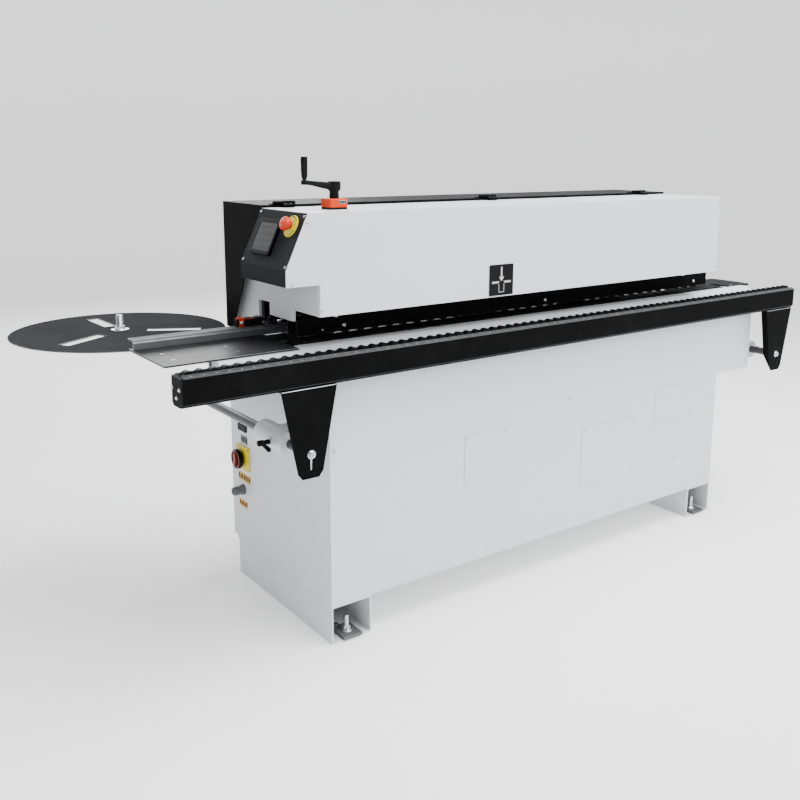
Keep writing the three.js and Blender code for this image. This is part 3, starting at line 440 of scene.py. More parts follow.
def carved(bm, cutters):
    """The mesh with the cutters' volumes taken out of it."""
    for part in (bm, *cutters):
        bmesh.ops.recalc_face_normals(part, faces=part.faces)
    body = as_object("carving", bm)
    tools = [as_object("carving", cutter) for cutter in cutters]
    for tool in tools:
        modifier = body.modifiers.new("carve", "BOOLEAN")
        modifier.operation = "DIFFERENCE"
        modifier.solver = "EXACT"
        modifier.object = tool
    bpy.context.view_layer.update()
    result = bmesh.new()
    result.from_mesh(body.evaluated_get(bpy.context.evaluated_depsgraph_get()).to_mesh())
    for obj in [body, *tools]:
        mesh = obj.data
        bpy.data.objects.remove(obj)
        bpy.data.meshes.remove(mesh)
    bmesh.ops.remove_doubles(result, verts=result.verts, dist=0.00002)
    return result


def screw(bm, spot, normal, radius=0.005, height=0.0028, spin=0.3):
    """A button head with a six-cornered socket."""
    r, h = radius, height
    turned(bm, [(0, 0), (r, 0), (r, 0.3 * h), (0.88 * r, 0.72 * h), (0.62 * r, h), (0.5 * r, h, 6),
                (0.46 * r, 0.9 * h, 6), (0.46 * r, 0.35 * h, 6), (0, 0.35 * h)],
           place(spot, normal, spin), 24)


def bolt(bm, spot, normal, radius=0.008, height=0.006, washer=0.0015, spin=0.2):
    """A hexagon head on a washer."""
    r, w, h = radius, washer, height
    wide = 1.55 * r
    turned(bm, [(0, 0), (wide, 0), (wide, 0.8 * w), (0.96 * wide, w), (1.02 * r, w, 6),
                (1.02 * r, w + 0.8 * h, 6), (0.86 * r, w + h), (0, w + h)], place(spot, normal, spin), 24)


def screws(name, body, spots, normal, radius):
    """One piece with a screw at each spot, each turned a little further than the last."""
    bm = bmesh.new()
    for i, spot in enumerate(spots):
        screw(bm, spot, normal, radius, 0.55 * radius, 0.4 * i)
    piece(name, bm, body, steel, "steel")


def evenly(a, b, count):
    """Evenly spaced values, both ends included."""
    return [a + (b - a) * i / (count - 1) for i in range(count)]


def raised(where, height, across=0, up=0):
    """The matrix moved along its own axes."""
    return where @ Matrix.Translation((across, up, height))


def joint_named(name):
    return next(joint for joint in frame["joints"] if joint["name"] == name)


def flush_screws(name, node, places):
    """Countersunk screws in a plate's top face, each at (x, y) from the plate's low corner."""
    low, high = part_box(node)
    bm = bmesh.new()
    for x, y in places:
        turned(bm, [(0.0058, 0.00025), (0.0052, 0.0004), (0.0026, 0.0004, 6), (0.0026, -0.002, 6),
                    (0, -0.002)], place(Vector((low.x + x, low.y + y, high.z)), Z, x * 9), 24)
    piece(name, bm, "frame", steel, "steel")


def corners(node, inset, front):
    """Points one inset in from a flat cover's four corners, on its front face."""
    low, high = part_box(node)
    return [Vector((x, front, z)) for x in (low.x + inset, high.x - inset)
            for z in (low.z + inset, high.z - inset)]


# ---------------------------------------------------------------- feet and cabinet
def make_feet():
    for side in ("left", "right"):
        node = side + "_foot"
        low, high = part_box(node)
        softened(node, *white_coat, 0.0016)
        plates, bolts = bmesh.new(), bmesh.new()
        x = (low.x + high.x) / 2
        wall, half_width, half_depth, thick = 0.006, 0.034, 0.042, 0.010
        level = low.z + wall + thick
        for y in (low.y + half_width, high.y - half_width):
            block(plates, (x - half_width, y - half_depth, low.z + wall),
                  (x + half_width, y + half_depth, level))
            block(plates, (x - half_width, y + 0.026, level), (x - 0.010, y + half_depth, level + 0.012))
            turned(bolts, [(0, 0), (0.021, 0), (0.021, 0.003), (0.0135, 0.003, 6), (0.0135, 0.015, 6),
                           (0.0080, 0.016), (0.0080, 0.050), (0.0068, 0.0515), (0, 0.0515)],
                   place(Vector((x, y, level)), Z, 0.3), 36)
        piece(side + "_foot_clamp_plates", plates, "frame", *casting, bevel=0.0015)
        piece(side + "_foot_levelling_bolts", bolts, "frame", steel, "steel")


def make_cabinet():
    softened("lower_cabinet", *white_coat, 0.0014)
    softened("apron", *white_coat, 0.0014)
    for node in ("access_cover_left", "access_cover_upper", "access_cover_lower"):
        softened(node, *white_coat, 0.0006)
    softened("rear_panel", *white_coat, 0.0010)
    inset = 0.012
    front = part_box("access_cover_left")[0].y
    spots = corners("access_cover_left", inset, front) + corners("access_cover_upper", inset, front)
    low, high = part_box("access_cover_lower")
    step = Vector((low.x + 0.294, 0, low.z + 0.165))
    spots += [Vector((x, front, z)) for x, z in (
        (low.x + inset, low.z + inset), (step.x - inset, low.z + inset), (high.x - inset, low.z + inset),
        (high.x - inset, step.z - inset), (step.x - inset, high.z - inset), (low.x + inset, high.z - inset))]
    screws("cover_screws", "frame", spots, -Y, 0.0042)
    low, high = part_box("apron")
    places = ((low.x + 1.012, 0.029), (high.x - 0.014, 0.026), (low.x + 0.014, 0.026))
    screws("apron_screws", "frame", [Vector((x, low.y, low.z + up)) for x, up in places], -Y, 0.006)
    low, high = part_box("rear_panel")
    spots = [Vector((x, high.y, z)) for x in evenly(low.x + 0.03, high.x - 0.03, 7)
             for z in (low.z + 0.03, high.z - 0.03)]
    screws("rear_panel_screws", "frame", spots, Y, 0.005)


# ---------------------------------------------------------------- table, feed chain and plates
def make_table():
    softened("table_strip", *white_coat, 0.0012)
    softened("bed_plate", *casting, 0.0015)
    softened("outfeed_plate", *black_coat, 0.0012)
    softened("infeed_plate", *plate_coat, 0.0010)
    softened("infeed_support", *casting, 0.0020)
    flush_screws("infeed_plate_screws", "infeed_plate",
                 ((0.052, 0.148), (0.050, 0.063), (0.238, 0.142), (0.236, 0.058)))
    low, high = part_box("infeed_plate")
    under = low.z - 0.0003
    arm_end = low.x + 0.176
    bm = bmesh.new()
    block(bm, (low.x + 0.142, low.y + 0.035, low.z - 0.026), (arm_end, low.y + 0.043, under))
    block(bm, (low.x + 0.168, low.y + 0.035, low.z - 0.012), (arm_end, low.y + 0.130, under))
    piece("infeed_plate_bracket", bm, "frame", label_grey, "grey_plate", bevel=0.0012)
    support_low, support_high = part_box("infeed_support")
    bm = bmesh.new()
    block(bm, (high.x + 0.002, support_low.y - 0.006, low.z),
          (support_high.x - 0.002, support_high.y + 0.003, high.z - 0.001))
    piece("chain_end_cover", bm, "frame", *plate_coat, bevel=0.001)
    flush_screws("outfeed_plate_screws", "outfeed_plate",
                 ((0.135, 0.020), (0.235, 0.020), (0.235, 0.180), (0.030, 0.180)))


def track_point(low, high, distance, pitch_radius):
    """Where the chain's pitch line is after a distance, and its angle, from over the left sprocket."""
    radius = (high.z - low.z) / 2
    axis = (high.z + low.z) / 2
    left, right = low.x + radius, high.x - radius
    straight, turn = right - left, math.pi * pitch_radius
    distance %= 2 * (straight + turn)
    if distance < straight:
        return Vector((left + distance, 0, axis + pitch_radius)), 0.0
    if straight + turn <= distance < 2 * straight + turn:
        return Vector((right - (distance - straight - turn), 0, axis - pitch_radius)), math.pi
    if distance < straight + turn:
        centre, angle = right, (distance - straight) / pitch_radius
    else:
        centre, angle = left, math.pi + (distance - 2 * straight - turn) / pitch_radius
    return Vector((centre + pitch_radius * math.sin(angle), 0, axis + pitch_radius * math.cos(angle))), angle


def make_feed_chain():
    low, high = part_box("feed_track")
    outer = (high.z - low.z) / 2
    pitch_radius = outer - 0.014
    length = 2 * (high.x - low.x - 2 * outer) + 2 * math.pi * pitch_radius
    count = round(length / 0.0575)
    pitch = length / count
    pads, links = bmesh.new(), bmesh.new()
    centre = (low.y + high.y) / 2
    half = (high.y - low.y) / 2
    for i in range(count):
        spot, angle = track_point(low, high, (i + 0.5) * pitch, pitch_radius)
        spot.y = centre
        along = Vector((math.cos(angle), 0, -math.sin(angle)))
        out = Vector((math.sin(angle), 0, math.cos(angle)))
        where = facing(spot, along, Y, out)
        top, reach = outer - pitch_radius, pitch / 2 - 0.0012
        extruded(pads, [(-reach, top - 0.010), (reach, top - 0.010), (reach, top - 0.002),
                        (reach - 0.002, top), (-reach + 0.002, top), (-reach, top - 0.002)], 2 * half,
                 where @ facing(Vector((0, half, 0)), X, Z, -Y))
        for side in (-1, 1):
            extruded(links, rounded(pitch * 0.98, 0.016, 0.0078, 4), 0.003,
                     where @ facing(Vector((0, side * 0.020, -0.003)), X, Z, -Y))
        turned(links, [(0, -0.026), (0.0045, -0.026), (0.0045, 0.026), (0, 0.026)],
               where @ facing(Vector((-pitch / 2, 0, -0.003)), Z, X, Y), 12)
    piece("feed_pads", pads, "frame", rubber, "rubber", "feed_track", bevel=0.0006, segments=1)
    piece("feed_chain_links", links, "frame", cast, "steel")
    for node, slot, material in (("idler_sprocket", "steel", steel), ("drive_sprocket", "steel", steel),
                                 ("feed_gearmotor", "motor_grey", motor_paint)):
        softened(node, material, slot, 0.0012)


def make_fence():
    softened("infeed_fence", [aluminium, plate_edge], "aluminium", 0.0022, segments=3)
    low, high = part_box("fence_indicator")
    nose = low.x + 0.022
    bm = bmesh.new()
    block(bm, (low.x + 0.006, low.y - 0.001, low.z), (nose, high.y - 0.003, high.z))
    block(bm, (nose - 0.001, low.y - 0.0008, high.z - 0.0045),
          (high.x - 0.030, low.y + 0.004, high.z - 0.0028))
    piece("fence_gauge_band", bm, "fence", orange, "orange_plastic", "fence_indicator", 0.0012, 2)
    bm = bmesh.new()
    block(bm, (low.x, low.y + 0.002, low.z + 0.001), (low.x + 0.0058, high.y - 0.005, high.z - 0.003))
    block(bm, (nose + 0.0003, low.y, low.z + 0.001), (high.x, high.y - 0.005, high.z - 0.003))
    block(bm, (nose + 0.012, low.y - 0.004, low.z + 0.004), (nose + 0.032, low.y + 0.003, high.z - 0.010))
    block(bm, (high.x, low.y + 0.006, low.z + 0.003), (high.x + 0.012, high.y - 0.010, high.z - 0.010))
    piece("fence_gauge_block", bm, "fence", *moulded, bevel=0.0018)
    bm = bmesh.new()
    middle_y = (low.y + high.y) / 2
    for reach in (0.016, 0.046):
        spot = Vector((nose + reach, middle_y, high.z - 0.003))
        turned(bm, [(0, 0), (0.0065, 0), (0.0065, 0.005), (0.0055, 0.006), (0.003, 0.006, 6),
                    (0.003, 0.003, 6), (0, 0.003)], place(spot, Z), 24)
    turned(bm, [(0, 0), (0.004, 0), (0.004, 0.050), (0.003, 0.051), (0, 0.051)],
           place(Vector((high.x - 0.006, low.y - 0.004, low.z + 0.009)), X), 20)
    for x in (high.x + 0.018, high.x + 0.062, high.x + 0.094):
        bolt(bm, Vector((x, low.y + 0.010, low.z - 0.0002)), Z, 0.0058, 0.005)
    window = Vector((low.x + 0.013, low.y - 0.002, low.z + 0.013))
    turned(bm, [(0.0065, 0.001), (0.0065, 0.002), (0, 0.002)], place(window, -Y), 24)
    piece("fence_gauge_fittings", bm, "fence", steel, "steel")
    low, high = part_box("fence_knob")
    spot = Vector(((low.x + high.x) / 2, low.y, (low.z + high.z) / 2))
    bm = bmesh.new()
    radius, wave, lobes, steps = 0.0105, 0.0013, 5, 60
    outline = []
    for i in range(steps):
        angle = 2 * math.pi * i / steps
        reach = radius + wave * math.cos(lobes * angle)
        outline.append((reach * math.cos(angle), reach * math.sin(angle)))
    extruded(bm, outline, 0.016, place(spot + 0.001 * Y, Y))
    length = high.y - low.y - 0.001
    turned(bm, [(0, 0.016), (0.0050, 0.016), (0.0050, length), (0, length)], place(spot, Y), 20)
    piece("fence_knob_finished", bm, "fence_knob", *moulded, "fence_knob", 0.0012)
    low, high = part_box("infeed_fence")
    bm = bmesh.new()
    root = Vector((high.x - 0.030, high.y - 0.020, high.z))
    turned(bm, [(0, 0), (0.008, 0), (0.008, 0.012), (0.0065, 0.014), (0, 0.014)], place(root, Z), 24)
    swept(bm, [root + Vector((0, 0, 0.010)), root + Vector((0.014, -0.006, 0.015)),
               root + Vector((0.034, -0.014, 0.016)), root + Vector((0.040, -0.016, 0.016))],
          [0.0045, 0.0042, 0.0055, 0.0035])
    piece("fence_clamp_lever", bm, "fence", *moulded)


# ---------------------------------------------------------------- hood and its controls
def make_hood():
    softened("front_hood", *white_coat, 0.0016, segments=3)
    softened("infeed_guard", *white_coat, 0.0008)
    softened("control_housing", *black_coat, 0.0011)
    low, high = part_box("front_hood")
    front = low.y
    notch = low.x + 0.106
    spots = [Vector((low.x + 0.070, front, high.z - 0.027)), Vector((low.x + 0.019, front, high.z - 0.192)),
             Vector((notch + 0.006, front, low.z + 0.018)), Vector((high.x - 0.008, front, high.z - 0.028)),
             Vector((high.x - 0.012, front, low.z + 0.021))]
    screws("hood_screws", "frame", spots, -Y, 0.0048)
    bm = bmesh.new()
    plate = facing(Vector((low.x + 0.7785, front - 0.0012, high.z - 0.237)), X, Z, -Y)
    extruded(bm, rounded(0.102, 0.100, 0.003), 0.0011, plate)
    piece("notice_plate", bm, "frame", [black_plastic, black_edge], "black_plastic", bevel=0.0003)
    bm = bmesh.new()
    arrow = [(-0.0028, 0.042), (0.0028, 0.042), (0.0028, 0.010), (0.0105, 0.010), (0, -0.004),
             (-0.0105, 0.010), (-0.0028, 0.010)]
    face = raised(plate, 0.0011)
    line = 0.0004
    extruded(bm, arrow, line, face)
    inner, outer, level, foot = 0.0100, 0.0115, -0.012, -0.040
    for side in (-1, 1):
        wing = [(0.040, -0.004), (0.009, -0.004), (0.014, -0.010), (0.040, -0.010)]
        upright = [(inner, level), (outer, level), (outer, foot), (inner, foot)]
        for outline in (wing, upright):
            extruded(bm, [(side * a, b) for a, b in outline], line, face)
    base = foot + 0.0015
    extruded(bm, [(-inner, base), (inner, base), (inner, foot), (-inner, foot)], line, face)
    piece("notice_pictogram", bm, "frame", label_white, "white_paint")


def make_control_panel():
    low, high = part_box("control_panel")
    housing_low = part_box("control_housing")[0]
    lean = math.atan2(high.x - low.x, high.z - low.z)
    bend, sheet, steps = 0.011, 0.0012, 8
    fold = Vector((low.x - 0.0002, 0, low.z + 0.0006))
    centre = Vector((fold.x + bend, 0, fold.z - math.tan(lean / 2) * bend))
    outer = [Vector((high.x - 0.0022, 0, high.z - 0.0012))]
    for i in range(steps, -1, -1):
        angle = lean * i / steps
        outer.append(centre + bend * Vector((-math.cos(angle), 0, math.sin(angle))))
    outer.append(Vector((fold.x, 0, housing_low.z + 0.0004)))
    outline = [(point.x, point.z) for point in outer]
    outline += [(point.x + sheet, point.z - 0.0002) for point in reversed(outer)]
    bm = bmesh.new()
    extruded(bm, outline, high.y - low.y - 0.001, facing(Vector((0, high.y - 0.0005, 0)), X, Z, -Y))
    piece("control_panel_sheet", bm, "frame", [panel_paint, black_edge], "panel_grey", "control_panel",
          0.0003)
    out = -Vector(joint_named("stop_push")["axis"]).normalized()
    down = Vector((-out.z, 0, out.x)).normalized()
    centre = middle("control_panel") + 0.0013 * out
    half_slope = 0.5 * (high.z - low.z - 0.003 * abs(out.z)) / abs(down.z)
    half_depth = (high.y - low.y) / 2
    spots = [centre + a * (half_depth - 0.0095) * Y + b * (half_slope - 0.010) * down
             for a in (-1, 1) for b in (-1, 1)]
    screws("panel_screws", "frame", spots, out, 0.0042)
    make_touch_screen(out, down)
    make_stop_button(out, down)


def make_touch_screen(out, down):
    low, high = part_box("touch_screen")
    width = high.y - low.y
    face = middle("touch_screen") - 0.0048 * out
    height = 0.106
    where = facing(face, -Y, -down, out)
    bm = bmesh.new()
    outer = rounded(width, height, 0.006, 6)
    inner = rounded(width - 0.018, height - 0.022, 0.003, 6)
    rim = [(a * 0.988, b * 0.988) for a, b in outer]
    layers = [(outer, 0.0003), (outer, 0.0078), (rim, 0.0093), (inner, 0.0093), (inner, 0.0076)]
    loops = [[bm.verts.new(where @ Vector((a, b, level))) for a, b in outline] for outline, level in layers]
    for lower, upper in zip(loops, loops[1:]):
        for i in range(len(lower)):
            j = (i + 1) % len(lower)
            bm.faces.new((lower[i], lower[j], upper[j], upper[i]))
    bm.faces.new(loops[0][::-1])
    bm.faces.new(loops[-1])
    piece("touch_screen_bezel", bm, "frame", *moulded, "touch_screen")
    bm = bmesh.new()
    extruded(bm, rounded(width - 0.0184, height - 0.0224, 0.003, 6), 0.0010, raised(where, 0.0074))
    piece("touch_screen_glass", bm, "frame", screen_glass, "black_plastic")
    bm = bmesh.new()
    for row in range(3):
        for column in range(4):
            key = raised(where, 0.0084, -0.034 + 0.0227 * column, -0.024 + 0.021 * row)
            extruded(bm, rounded(0.018, 0.014, 0.002, 3), 0.0001, key)
    extruded(bm, rounded(0.086, 0.007, 0.001, 2), 0.0001, raised(where, 0.0084, 0, 0.0355))
    piece("touch_screen_keys", bm, "frame", screen_mark, "black_plastic")


def make_stop_button(out, down):
    base = middle("stop_button_ring") - 0.0028 * out
    where = facing(base, -Y, -down, out)
    bm = bmesh.new()
    turned(bm, [(0.0098, 0.0004), (0.0316, 0.0004), (0.0320, 0.0012), (0.0318, 0.0040), (0.0302, 0.0053),
                (0.0250, 0.0053), (0.0243, 0.0046), (0.0222, 0.0046), (0.0215, 0.0056), (0.0135, 0.0062),
                (0.0110, 0.0060), (0.0098, 0.0052)], where, 64, closed=True)
    piece("stop_button_collar", bm, "frame", yellow, "yellow_plastic", "stop_button_ring")
    bm = bmesh.new()
    for i in range(3):
        turn = where @ Matrix.Rotation(2 * math.pi * i / 3 + 0.5, 4, "Z")
        face = raised(turn, 0.0052)
        outline = arc(0, 0, 0.0295, 10, 62, 10) + arc(0, 0, 0.0270, 62, 10, 10)
        extruded(bm, outline, 0.0003, face)
        corners_of_tip = ((0.0310, 1.08), (0.0283, 1.30), (0.0256, 1.08))
        tip = [(radius * math.cos(angle), radius * math.sin(angle)) for radius, angle in corners_of_tip]
        extruded(bm, tip, 0.0003, face)
    piece("stop_collar_arrows", bm, "frame", *moulded)
    bm = bmesh.new()
    turned(bm, [(0, -0.006), (0.0088, -0.006), (0.0088, 0.0128), (0.0130, 0.0138), (0.0176, 0.0152),
                (0.0189, 0.0172), (0.0192, 0.0205), (0.0186, 0.0265), (0.0172, 0.0300), (0.0140, 0.0325),
                (0.0090, 0.0338), (0, 0.0342)], where, 64)
    for i in range(20):
        turn = where @ Matrix.Rotation(2 * math.pi * i / 20, 4, "Z")
        swept(bm, [turn @ Vector((0.0188, 0, 0.0178)), turn @ Vector((0.0188, 0, 0.0262)),
                   turn @ Vector((0.0170, 0, 0.0298))], [0.0011, 0.0011, 0.0006], 6)
    piece("stop_button_cap", bm, "stop_button", red, "red_plastic", "stop_button")
    bm = bmesh.new()
    for i in range(3):
        turn = raised(where @ Matrix.Rotation(2 * math.pi * i / 3, 4, "Z"), 0.0331)
        extruded(bm, arc(0, 0, 0.0105, 8, 70, 8) + arc(0, 0, 0.0088, 70, 8, 8), 0.0006, turn)
    piece("stop_cap_arrows", bm, "stop_button", label_white, "red_plastic")


def make_rear_cover():
    softened("rear_cover", *black_coat, 0.0012)
    hood_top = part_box("front_hood")[1].z
    for i in (1, 2, 3):
        node = f"cover_hinge_{i}"
        softened(node, *black_coat, 0.0008)
        low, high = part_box(node)
        x = (low.x + high.x) / 2
        level = max(high.z - 0.0083, hood_top + 0.0035)
        bm = bmesh.new()
        for side in (-1, 1):
            screw(bm, Vector((x + side * 0.009, low.y + 0.011, level)), Z, 0.0032, 0.002)
        piece(f"hinge_screws_{i}", bm, "frame", cast, "steel")
    low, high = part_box("rear_cover")
    bm = bmesh.new()
    bend = ((-0.055, 0), (-0.055, 0.012), (-0.048, 0.019), (0.048, 0.019), (0.055, 0.012), (0.055, 0))
    for x in (low.x + 0.35, high.x - 0.35):
        swept(bm, [Vector((x + a, high.y + b, low.z + 0.075)) for a, b in bend], 0.0045, 12)
    piece("cover_grab_handles", bm, "cover", *moulded)


# ---------------------------------------------------------------- height setting
def make_height_setting():
    softened("upper_frame", *casting, 0.0020)
    softened("pressure_beam", *black_coat, 0.0012)
    low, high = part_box("pressure_beam")
    face = high.y - 0.053
    spots = [Vector((low.x + x, face, low.z + 0.0185)) for x in (0.164, 1.014, 1.866)]
    bm = bmesh.new()
    for spot in spots:
        screw(bm, spot, -Y, 0.0072, 0.0045)
    screw(bm, Vector((low.x + 0.0885, face, low.z + 0.0115)), -Y, 0.0035, 0.002)
    piece("beam_screws", bm, "beam", steel, "steel")
    bm, hubs = bmesh.new(), bmesh.new()
    radius, count = 0.020, 34
    centre = high.y - 0.024
    for x in evenly(low.x + 0.070, high.x - 0.060, count):
        spot = Vector((x, centre, low.z + radius - 0.0095))
        turned(bm, [(0.009, -0.014), (radius - 0.001, -0.014), (radius, -0.013), (radius, 0.013),
                    (radius - 0.001, 0.014), (0.009, 0.014)], place(spot, Y), 24, closed=True)
        turned(hubs, [(0, -0.016), (0.009, -0.016), (0.009, 0.016), (0, 0.016)], place(spot, Y), 16)
    piece("pressing_wheels", bm, "beam", rubber, "rubber")
    piece("pressing_wheel_hubs", hubs, "beam", cast, "steel")
    for node in ("lift_screw_left", "lift_screw_right"):
        softened(node, steel, "steel", 0.0006)
    make_height_gauge()


def make_height_gauge():
    low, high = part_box("height_indicator")
    bm = bmesh.new()
    block(bm, (low.x, low.y, low.z + 0.005), (high.x, high.y, high.z))
    piece("height_gauge_body", bm, "frame", orange, "orange_plastic", "height_indicator", 0.0035, 4)
    bm = bmesh.new()
    block(bm, (low.x + 0.001, low.y + 0.001, low.z), (high.x - 0.001, high.y - 0.001, low.z + 0.0055))
    piece("height_gauge_base", bm, "frame", *moulded, bevel=0.0012)
    window = facing(Vector(((low.x + high.x) / 2 + 0.012, low.y - 0.0002, high.z - 0.0095)), X, Z, -Y)
    bm = bmesh.new()
    extruded(bm, rounded(0.026, 0.0095, 0.002), 0.0008, window)
    piece("height_gauge_window", bm, "frame", galvanised, "steel", bevel=0.0003)
    bm = bmesh.new()
    for i in range(4):
        drum = raised(window, 0.0008, -0.009 + 0.006 * i)
        extruded(bm, rounded(0.0046, 0.0064, 0.0008, 2), 0.0003, drum)
    piece("height_gauge_drums", bm, "frame", *moulded)


def make_crank():
    screw_spot = middle("lift_screw_left")
    low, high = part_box("crank_handle")
    hub = Vector((screw_spot.x, screw_spot.y, low.z))
    top = high.z - low.z - 0.004
    bm = bmesh.new()
    turned(bm, [(0, 0), (0.0132, 0), (0.0142, 0.0015), (0.0136, 0.0200), (0.0180, 0.0235), (0.0193, 0.0265),
                (0.0196, 0.0440), (0.0190, top - 0.0016), (0.0176, top), (0.0060, top),
                (0.0055, top - 0.001), (0, top - 0.001)], place(hub), 48)
    eye = low.x + 0.010
    reach = hub.x - eye
    bottom_root, top_root = top - 0.0245, top - 0.0035
    top_tip = high.z - low.z
    bottom_tip = top_tip - 0.013
    half = 0.0082
    steps = 10
    rings = []
    for i in range(steps + 1):
        x = hub.x - 0.004 - (reach - 0.004) * i / steps
        share = i / steps
        smooth = share * share * (3 - 2 * share)
        z_low = bottom_root + (bottom_tip - bottom_root) * smooth
        z_high = top_root + (top_tip - top_root) * share
        wide = half + 0.0035 * (1 - share) ** 2
        centre = Vector((x, hub.y, low.z + (z_low + z_high) / 2))
        section = rounded(2 * wide, z_high - z_low, min(wide, (z_high - z_low) / 2) * 0.55, 3)
        rings.append([bm.verts.new(centre + a * Y + b * Z) for a, b in section])
    for first, second in zip(rings, rings[1:]):
        for k in range(len(first)):
            j = (k + 1) % len(first)
            bm.faces.new((first[k], first[j], second[j], second[k]))
    bm.faces.new(rings[0])
    bm.faces.new(rings[-1][::-1])
    turned(bm, [(0, 0), (0.0085, 0), (0.0100, 0.0012), (0.0100, top_tip - bottom_tip - 0.0012),
                (0.0088, top_tip - bottom_tip), (0, top_tip - bottom_tip)],
           place(Vector((eye, hub.y, low.z + bottom_tip))), 32)
    piece("crank_casting", bm, "crank", *moulded, "crank_handle")
    low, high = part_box("crank_grip")
    length = high.z - low.z
    bm = bmesh.new()
    turned(bm, [(0, 0.0002), (0.0060, 0.0002), (0.0068, 0.0012), (0.0066, 0.0050), (0.0078, 0.0072),
                (0.0088, 0.0110), (0.0094, 0.0200), (0.0098, 0.0360), (0.0100, 0.0500),
                (0.0098, length - 0.0040), (0.0090, length - 0.0012), (0.0076, length - 0.0002),
                (0.0034, length - 0.0002), (0.0030, length - 0.0020), (0, length - 0.0020)],
           place(Vector(((low.x + high.x) / 2, (low.y + high.y) / 2, low.z))), 40)
    piece("crank_grip_finished", bm, "grip", *moulded, "crank_grip")


# ---------------------------------------------------------------- roller rail, legs and slides
def make_rail():
    softened("roller_rail", *black_coat, 0.0014)
    low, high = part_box("roller_rail")
    bm = bmesh.new()
    wrap = 0.0008
    drop = 0.0042
    section = [(-wrap, -drop), (-wrap, wrap), (0.0048, wrap), (0.0048, -0.0020), (0.0041, -0.0020),
               (0.0041, 0.0001), (-0.0001, 0.0001), (-0.0001, -drop)]
    extruded(bm, section, high.x - low.x - 0.010, facing(Vector((low.x + 0.005, low.y, high.z)), Y, Z, X))
    # The lip strip's dark colour is painted shade on its front face.
    piece("rail_lip_strip", bm, "rail", shade_darkened_strip, "steel", bevel=0.0002, segments=1)

    wall, gap, radius, pitch = 0.004, 0.0003, 0.015, 0.0361
    start, end = low.x + wall + gap, high.x - wall - gap
    count = math.floor((end - start - 2 * radius) / pitch) + 1
    first = (start + end - (count - 1) * pitch) / 2
    centre = (low.y + high.y) / 2
    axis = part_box("rail_rollers")[1].z - radius
    half = [(0.0045, -0.0145), (0.0075, -0.0145), (0.0080, -0.0135), (0.0132, -0.0132), (0.0147, -0.0118),
            (radius, -0.0095)]
    shaft = [(0, -0.0255), (0.0040, -0.0255), (0.0044, -0.0248)]
    wheels, axles = bmesh.new(), bmesh.new()
    for i in range(count):
        spot = Vector((first + i * pitch, centre, axis))
        turned(wheels, half + [(r, -h) for r, h in reversed(half)], place(spot, Y), 24, closed=True)
        turned(axles, shaft + [(r, -h) for r, h in reversed(shaft)], place(spot, Y), 12)
    piece("rail_roller_wheels", wheels, "rail", bare_plastic, "black_plastic", "rail_rollers")
    piece("rail_roller_axles", axles, "rail", steel, "steel")
    bm = bmesh.new()
    for side in (-1, 1):
        y = centre + side * 0.0195
        block(bm, (start, y - 0.0015, low.z + wall + gap), (end, y + 0.0015, axis + 0.0075))
    piece("rail_roller_carrier", bm, "rail", cast, "steel")

    plates, bolts = bmesh.new(), bmesh.new()
    chamfer = 0.010
    depth, height = high.y - low.y, high.z - low.z
    outline = [(chamfer, 0.001), (depth - chamfer, 0.001), (depth - 0.001, chamfer),
               (depth - 0.001, height - 0.002), (0.001, height - 0.002), (0.001, chamfer)]
    thick = 0.003
    for x, face, out in ((low.x - thick, low.x - thick, -X), (high.x, high.x + thick, X)):
        extruded(plates, outline, thick, facing(Vector((x, low.y, low.z)), Y, Z, X))
        for a, b in ((0.007, 0.050), (depth - 0.007, 0.050), (depth / 2 - 0.004, 0.026)):
            bolt(bolts, Vector((face, low.y + a, low.z + b)), out, 0.0036, 0.003, 0.001)
    piece("rail_end_plates", plates, "rail", *black_coat, bevel=0.0008)
    piece("rail_end_bolts", bolts, "rail", steel, "steel")


def keyhole(x, y, level):
    """The slot in a leg that its tube bolt passes through and hooks into."""
    bm = bmesh.new()
    half = 0.0036
    outline = arc(0, 0, 0.0095, -60, 240, 16) + arc(0, -0.044, half, 180, 360, 8)
    extruded(bm, outline, 0.010, facing(Vector((x, y + 0.005, level)), X, Z, -Y))
    return bm


def make_legs():
    for side in ("left", "right"):
        node, tube_node = side + "_leg", side + "_slide_tube"
        low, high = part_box(node)
        tube_spot = middle(tube_node)
        level = tube_spot.z
        softened(node, *black_coat, 0.0012,
                 cutters=[keyhole(tube_spot.x, low.y, level)])
        bm = bmesh.new()
        turned(bm, [(0, -0.001), (0.0135, -0.001), (0.0135, 0.0010), (0.0125, 0.0016), (0.0100, 0.0016),
                    (0.0098, 0.0062), (0.0086, 0.0078), (0.0050, 0.0082), (0.0046, 0.0080, 6),
                    (0.0044, 0.0040, 6), (0, 0.0040)], place(Vector((tube_spot.x, low.y, level)), -Y), 36)
        piece(side + "_leg_bolt", bm, "rail", steel, "steel")
        bm = bmesh.new()
        back = low.y + 0.0036
        turned(bm, [(0, 0), (0.0145, 0), (0.0145, 0.001), (0, 0.001)],
               place(Vector((tube_spot.x, back, level)), -Y), 32)
        block(bm, (tube_spot.x - 0.008, back, level - 0.052), (tube_spot.x + 0.008, low.y + 0.0048, level))
        piece(side + "_leg_backing", bm, "rail", galvanised, "steel", bevel=0.0004)
        # A bright steel strip along the leg's top fold, standing in for the highlight the lit fold catches
        # (painted highlight).
        bm = bmesh.new()
        block(bm, (low.x + 0.003, low.y - 0.0005, high.z - 0.0018),
              (high.x - 0.003, low.y + 0.001, high.z - 0.0002))
        piece(side + "_leg_bright_edge", bm, "rail", galvanised, "steel")
        # The slide tube's dark colour is painted shade.
        softened(tube_node, [shade_darkened_tube_steel, steel], "steel", 0.0010)
        softened(side + "_slide_sleeve", *white_coat, 0.0022, segments=3)


